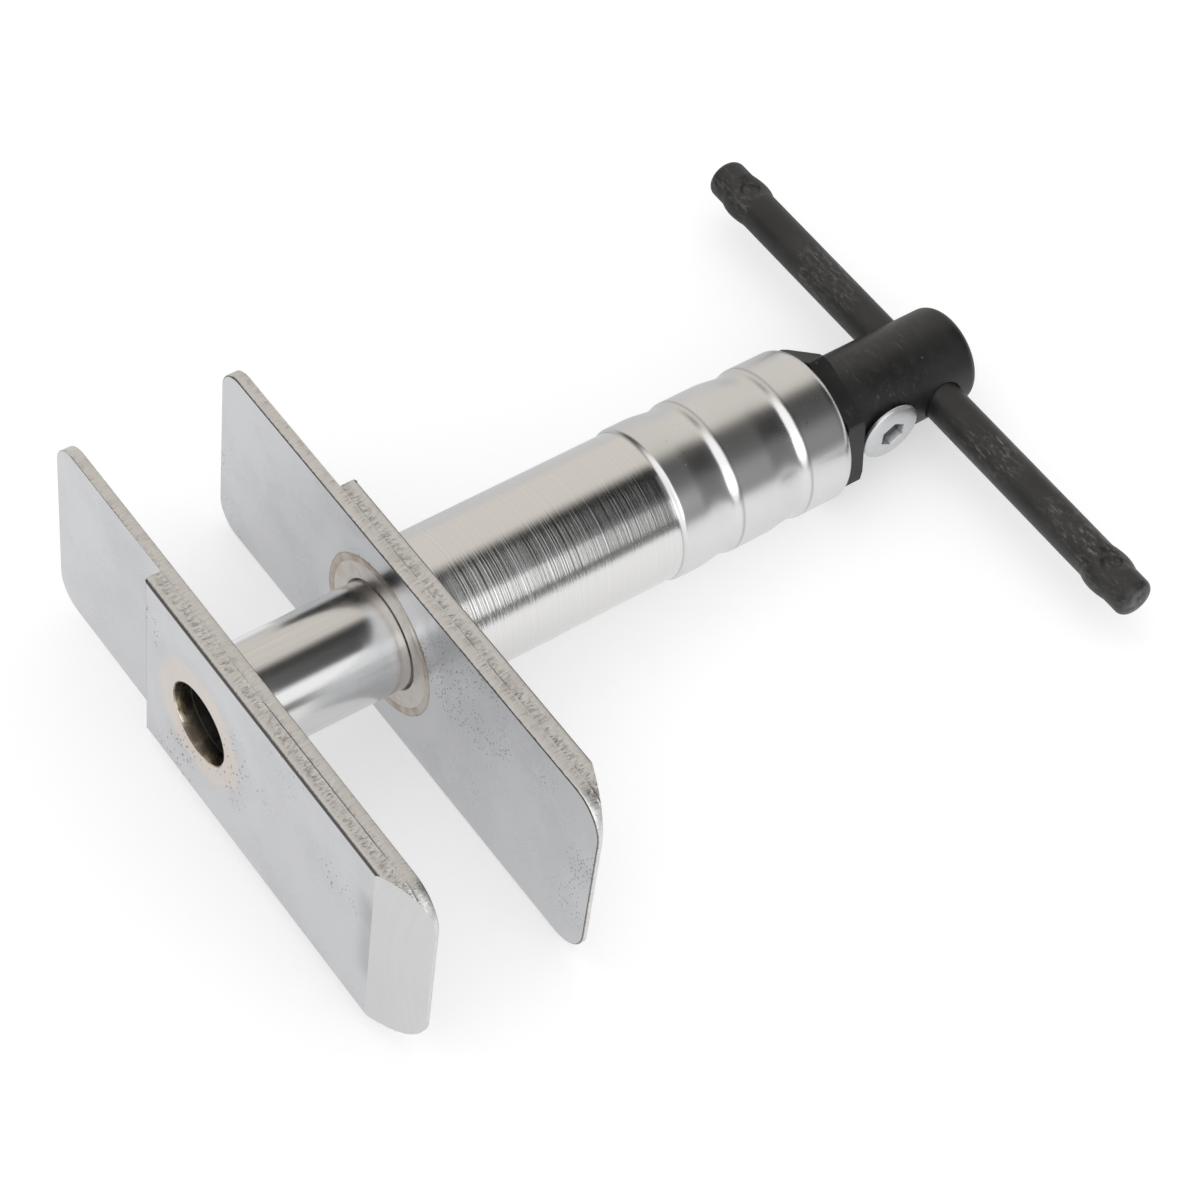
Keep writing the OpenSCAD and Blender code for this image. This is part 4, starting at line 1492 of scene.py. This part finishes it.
end_tree(swaged.outputs[0], given, end)

# %% Tommy bar
bar_end_r = 1.8
bar_end_crown = 0.7
ear_from_tip = 5.9
ear_length = 6.8
ear_proud = 0.8
pinch_depth = 0.6
punch_r = 1.9
rod_step = 3
ear_step = 0.2
tip_steps = 8
crown_steps = 4
bar_segments = 128
bar_sharp = 35
ear_place = bar_half - ear_from_tip - ear_length / 2
shoulder_at = bar_half - bar_end_crown - bar_end_r
half_bar = [(y, bar_r) for y in steps_along(0, ear_place - ear_length, rod_step)]
ear_run = steps_along(ear_place - ear_length + ear_step, shoulder_at - ear_step, ear_step)
half_bar += [(y, bar_r) for y in ear_run]
half_bar += arc(shoulder_at, bar_r - bar_end_r, bar_end_r, 0, 90, tip_steps)
for step in range(1, crown_steps + 1):
    share = 1 - step / crown_steps
    half_bar.append((bar_half - bar_end_crown * share**2, (bar_r - bar_end_r) * share))
bar_profile = [(-y, r) for y, r in reversed(half_bar[1:])] + half_bar
rod_mesh = turned("tommy_rod", bar_profile, axis=Y, centre=(bar_x, bar_middle, 0), segments=bar_segments)
bar_mesh = shaped(
    rod_mesh, swage_tree, black_bar,
    Middle=bar_middle * MM, Centre=bar_x * MM, Ear_Place=ear_place * MM, Ear_Length=ear_length * MM,
    Proud=ear_proud * MM, Pinch=pinch_depth * MM, Radius=bar_r * MM, Punch=punch_r * MM,
)
smooth(bar_mesh, bar_sharp)
place_piece(bar_mesh, "tommy_bar", ["tommy_bar"], [black_bar])

# %% [markdown]
# ## Screw
# A low-head screw fixes the hub to the spindle's tail. Only its head shows: a flat dome with a hexagon
# socket. The socket could be cut with a Boolean. Here the rings run from the head's edge over the dome, then
# take the hexagon's outline and go down into the socket, which keeps the land round it clean.

# %% Low-head screw
head_r = 6.6
head_h = 1.4
head_edge_h = 0.6
socket_across_flats = 5.0
socket_depth = 2.6
socket_land = 0.5
screw_shank_r = 4.0
screw_length = 9.0
screw_from_front = 8.6
screw_x = hub_front_x + screw_from_front
socket_r = socket_across_flats / 2 / math.cos(math.pi / 6)
head_segments = 96
dome_steps = 14
edge_round = 0.2
socket_soft = 0.25
screw_sharp = 28

crown_r = socket_r + socket_land
screw_profile = [(screw_length, screw_shank_r), (0, screw_shank_r)]
screw_profile += [(0, head_r - edge_round), (-edge_round, head_r)]
for angle in steps_along(0, math.pi / 2, math.pi / 2 / dome_steps):
    height = head_edge_h + (head_h - head_edge_h) * math.sin(angle)
    screw_profile.append((-height, crown_r + (head_r - crown_r) * math.cos(angle)))
screw_profile.append((-head_h, hexagon(socket_across_flats + socket_soft)))
for height in (head_h - socket_soft, head_h - socket_depth):
    screw_profile.append((-height, hexagon(socket_across_flats)))
low_head_mesh = turned(
    "low_head_screw", screw_profile, capped=True, axis=Y, centre=(screw_x, -hub_r, 0), segments=head_segments
)
smooth(low_head_mesh, screw_sharp)
place_piece(low_head_mesh, "spindle", ["hub_screw"], [zinc_screw])

# %% [markdown]
# ## Thrust balls
# Twelve balls run between two races behind the spindle's collar. They repeat round a circle, so a tree sets
# one ball on each point of that circle. An icosphere keeps the faces few and even.

# %% Tree that sets the balls
ball_tree, given, end = new_tree("ring_of_balls", ["Place", "Circle Radius", "Ball Radius", "Count"])
circle = {"Vertices": given["Count"], "Radius": given["Circle Radius"]}
circle = add_node(ball_tree, "GeometryNodeMeshCircle", circle)
upright = add_node(ball_tree, "ShaderNodeCombineXYZ", {"X": given["Place"]})
seated = add_node(
    ball_tree, "GeometryNodeTransform",
    {"Geometry": circle.outputs[0], "Translation": upright.outputs[0], "Rotation": (0.0, math.pi / 2, 0.0)},
)
ball = add_node(ball_tree, "GeometryNodeMeshIcoSphere", {"Radius": given["Ball Radius"], "Subdivisions": 3})
polished = add_node(ball_tree, "GeometryNodeSetShadeSmooth", {"Geometry": ball.outputs[0]})
balls = {"Points": seated.outputs[0], "Instance": polished.outputs[0]}
balls = add_node(ball_tree, "GeometryNodeInstanceOnPoints", balls)
end_tree(balls.outputs[0], given, end)

# %% Balls
ball_front_x, ball_rear_x = span("thrust_balls", X)
ball_x = (ball_front_x + ball_rear_x) / 2
ball_r = (ball_rear_x - ball_front_x) / 2
ball_circle_r = 8.6
ball_count = 12.0
ball_mesh = shaped(
    bpy.data.meshes.new("bearing_balls"), ball_tree, bearing_steel,
    Place=ball_x * MM, Circle_Radius=ball_circle_r * MM, Ball_Radius=ball_r * MM, Count=ball_count,
)
place_piece(ball_mesh, "bearing_cage", ["thrust_balls"], [bearing_steel])

# %% [markdown]
# ## Pieces that stay as they are
# The drive nut, the races and the cage are right as solids, so they stay CAD nodes and only get their finish.

# %% Finish the kept solids
kept_finishes = {
    "drive_nut": nut_bronze,
    "front_race": bearing_steel,
    "rear_race": bearing_steel,
    "ball_cage": cage_brass,
}
for node, finish in kept_finishes.items():
    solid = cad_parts[node]
    if not solid.material_slots:
        solid.data.materials.append(finish)
    for holder in solid.material_slots:
        holder.material = finish
print("kept solids:", ", ".join(kept_finishes))
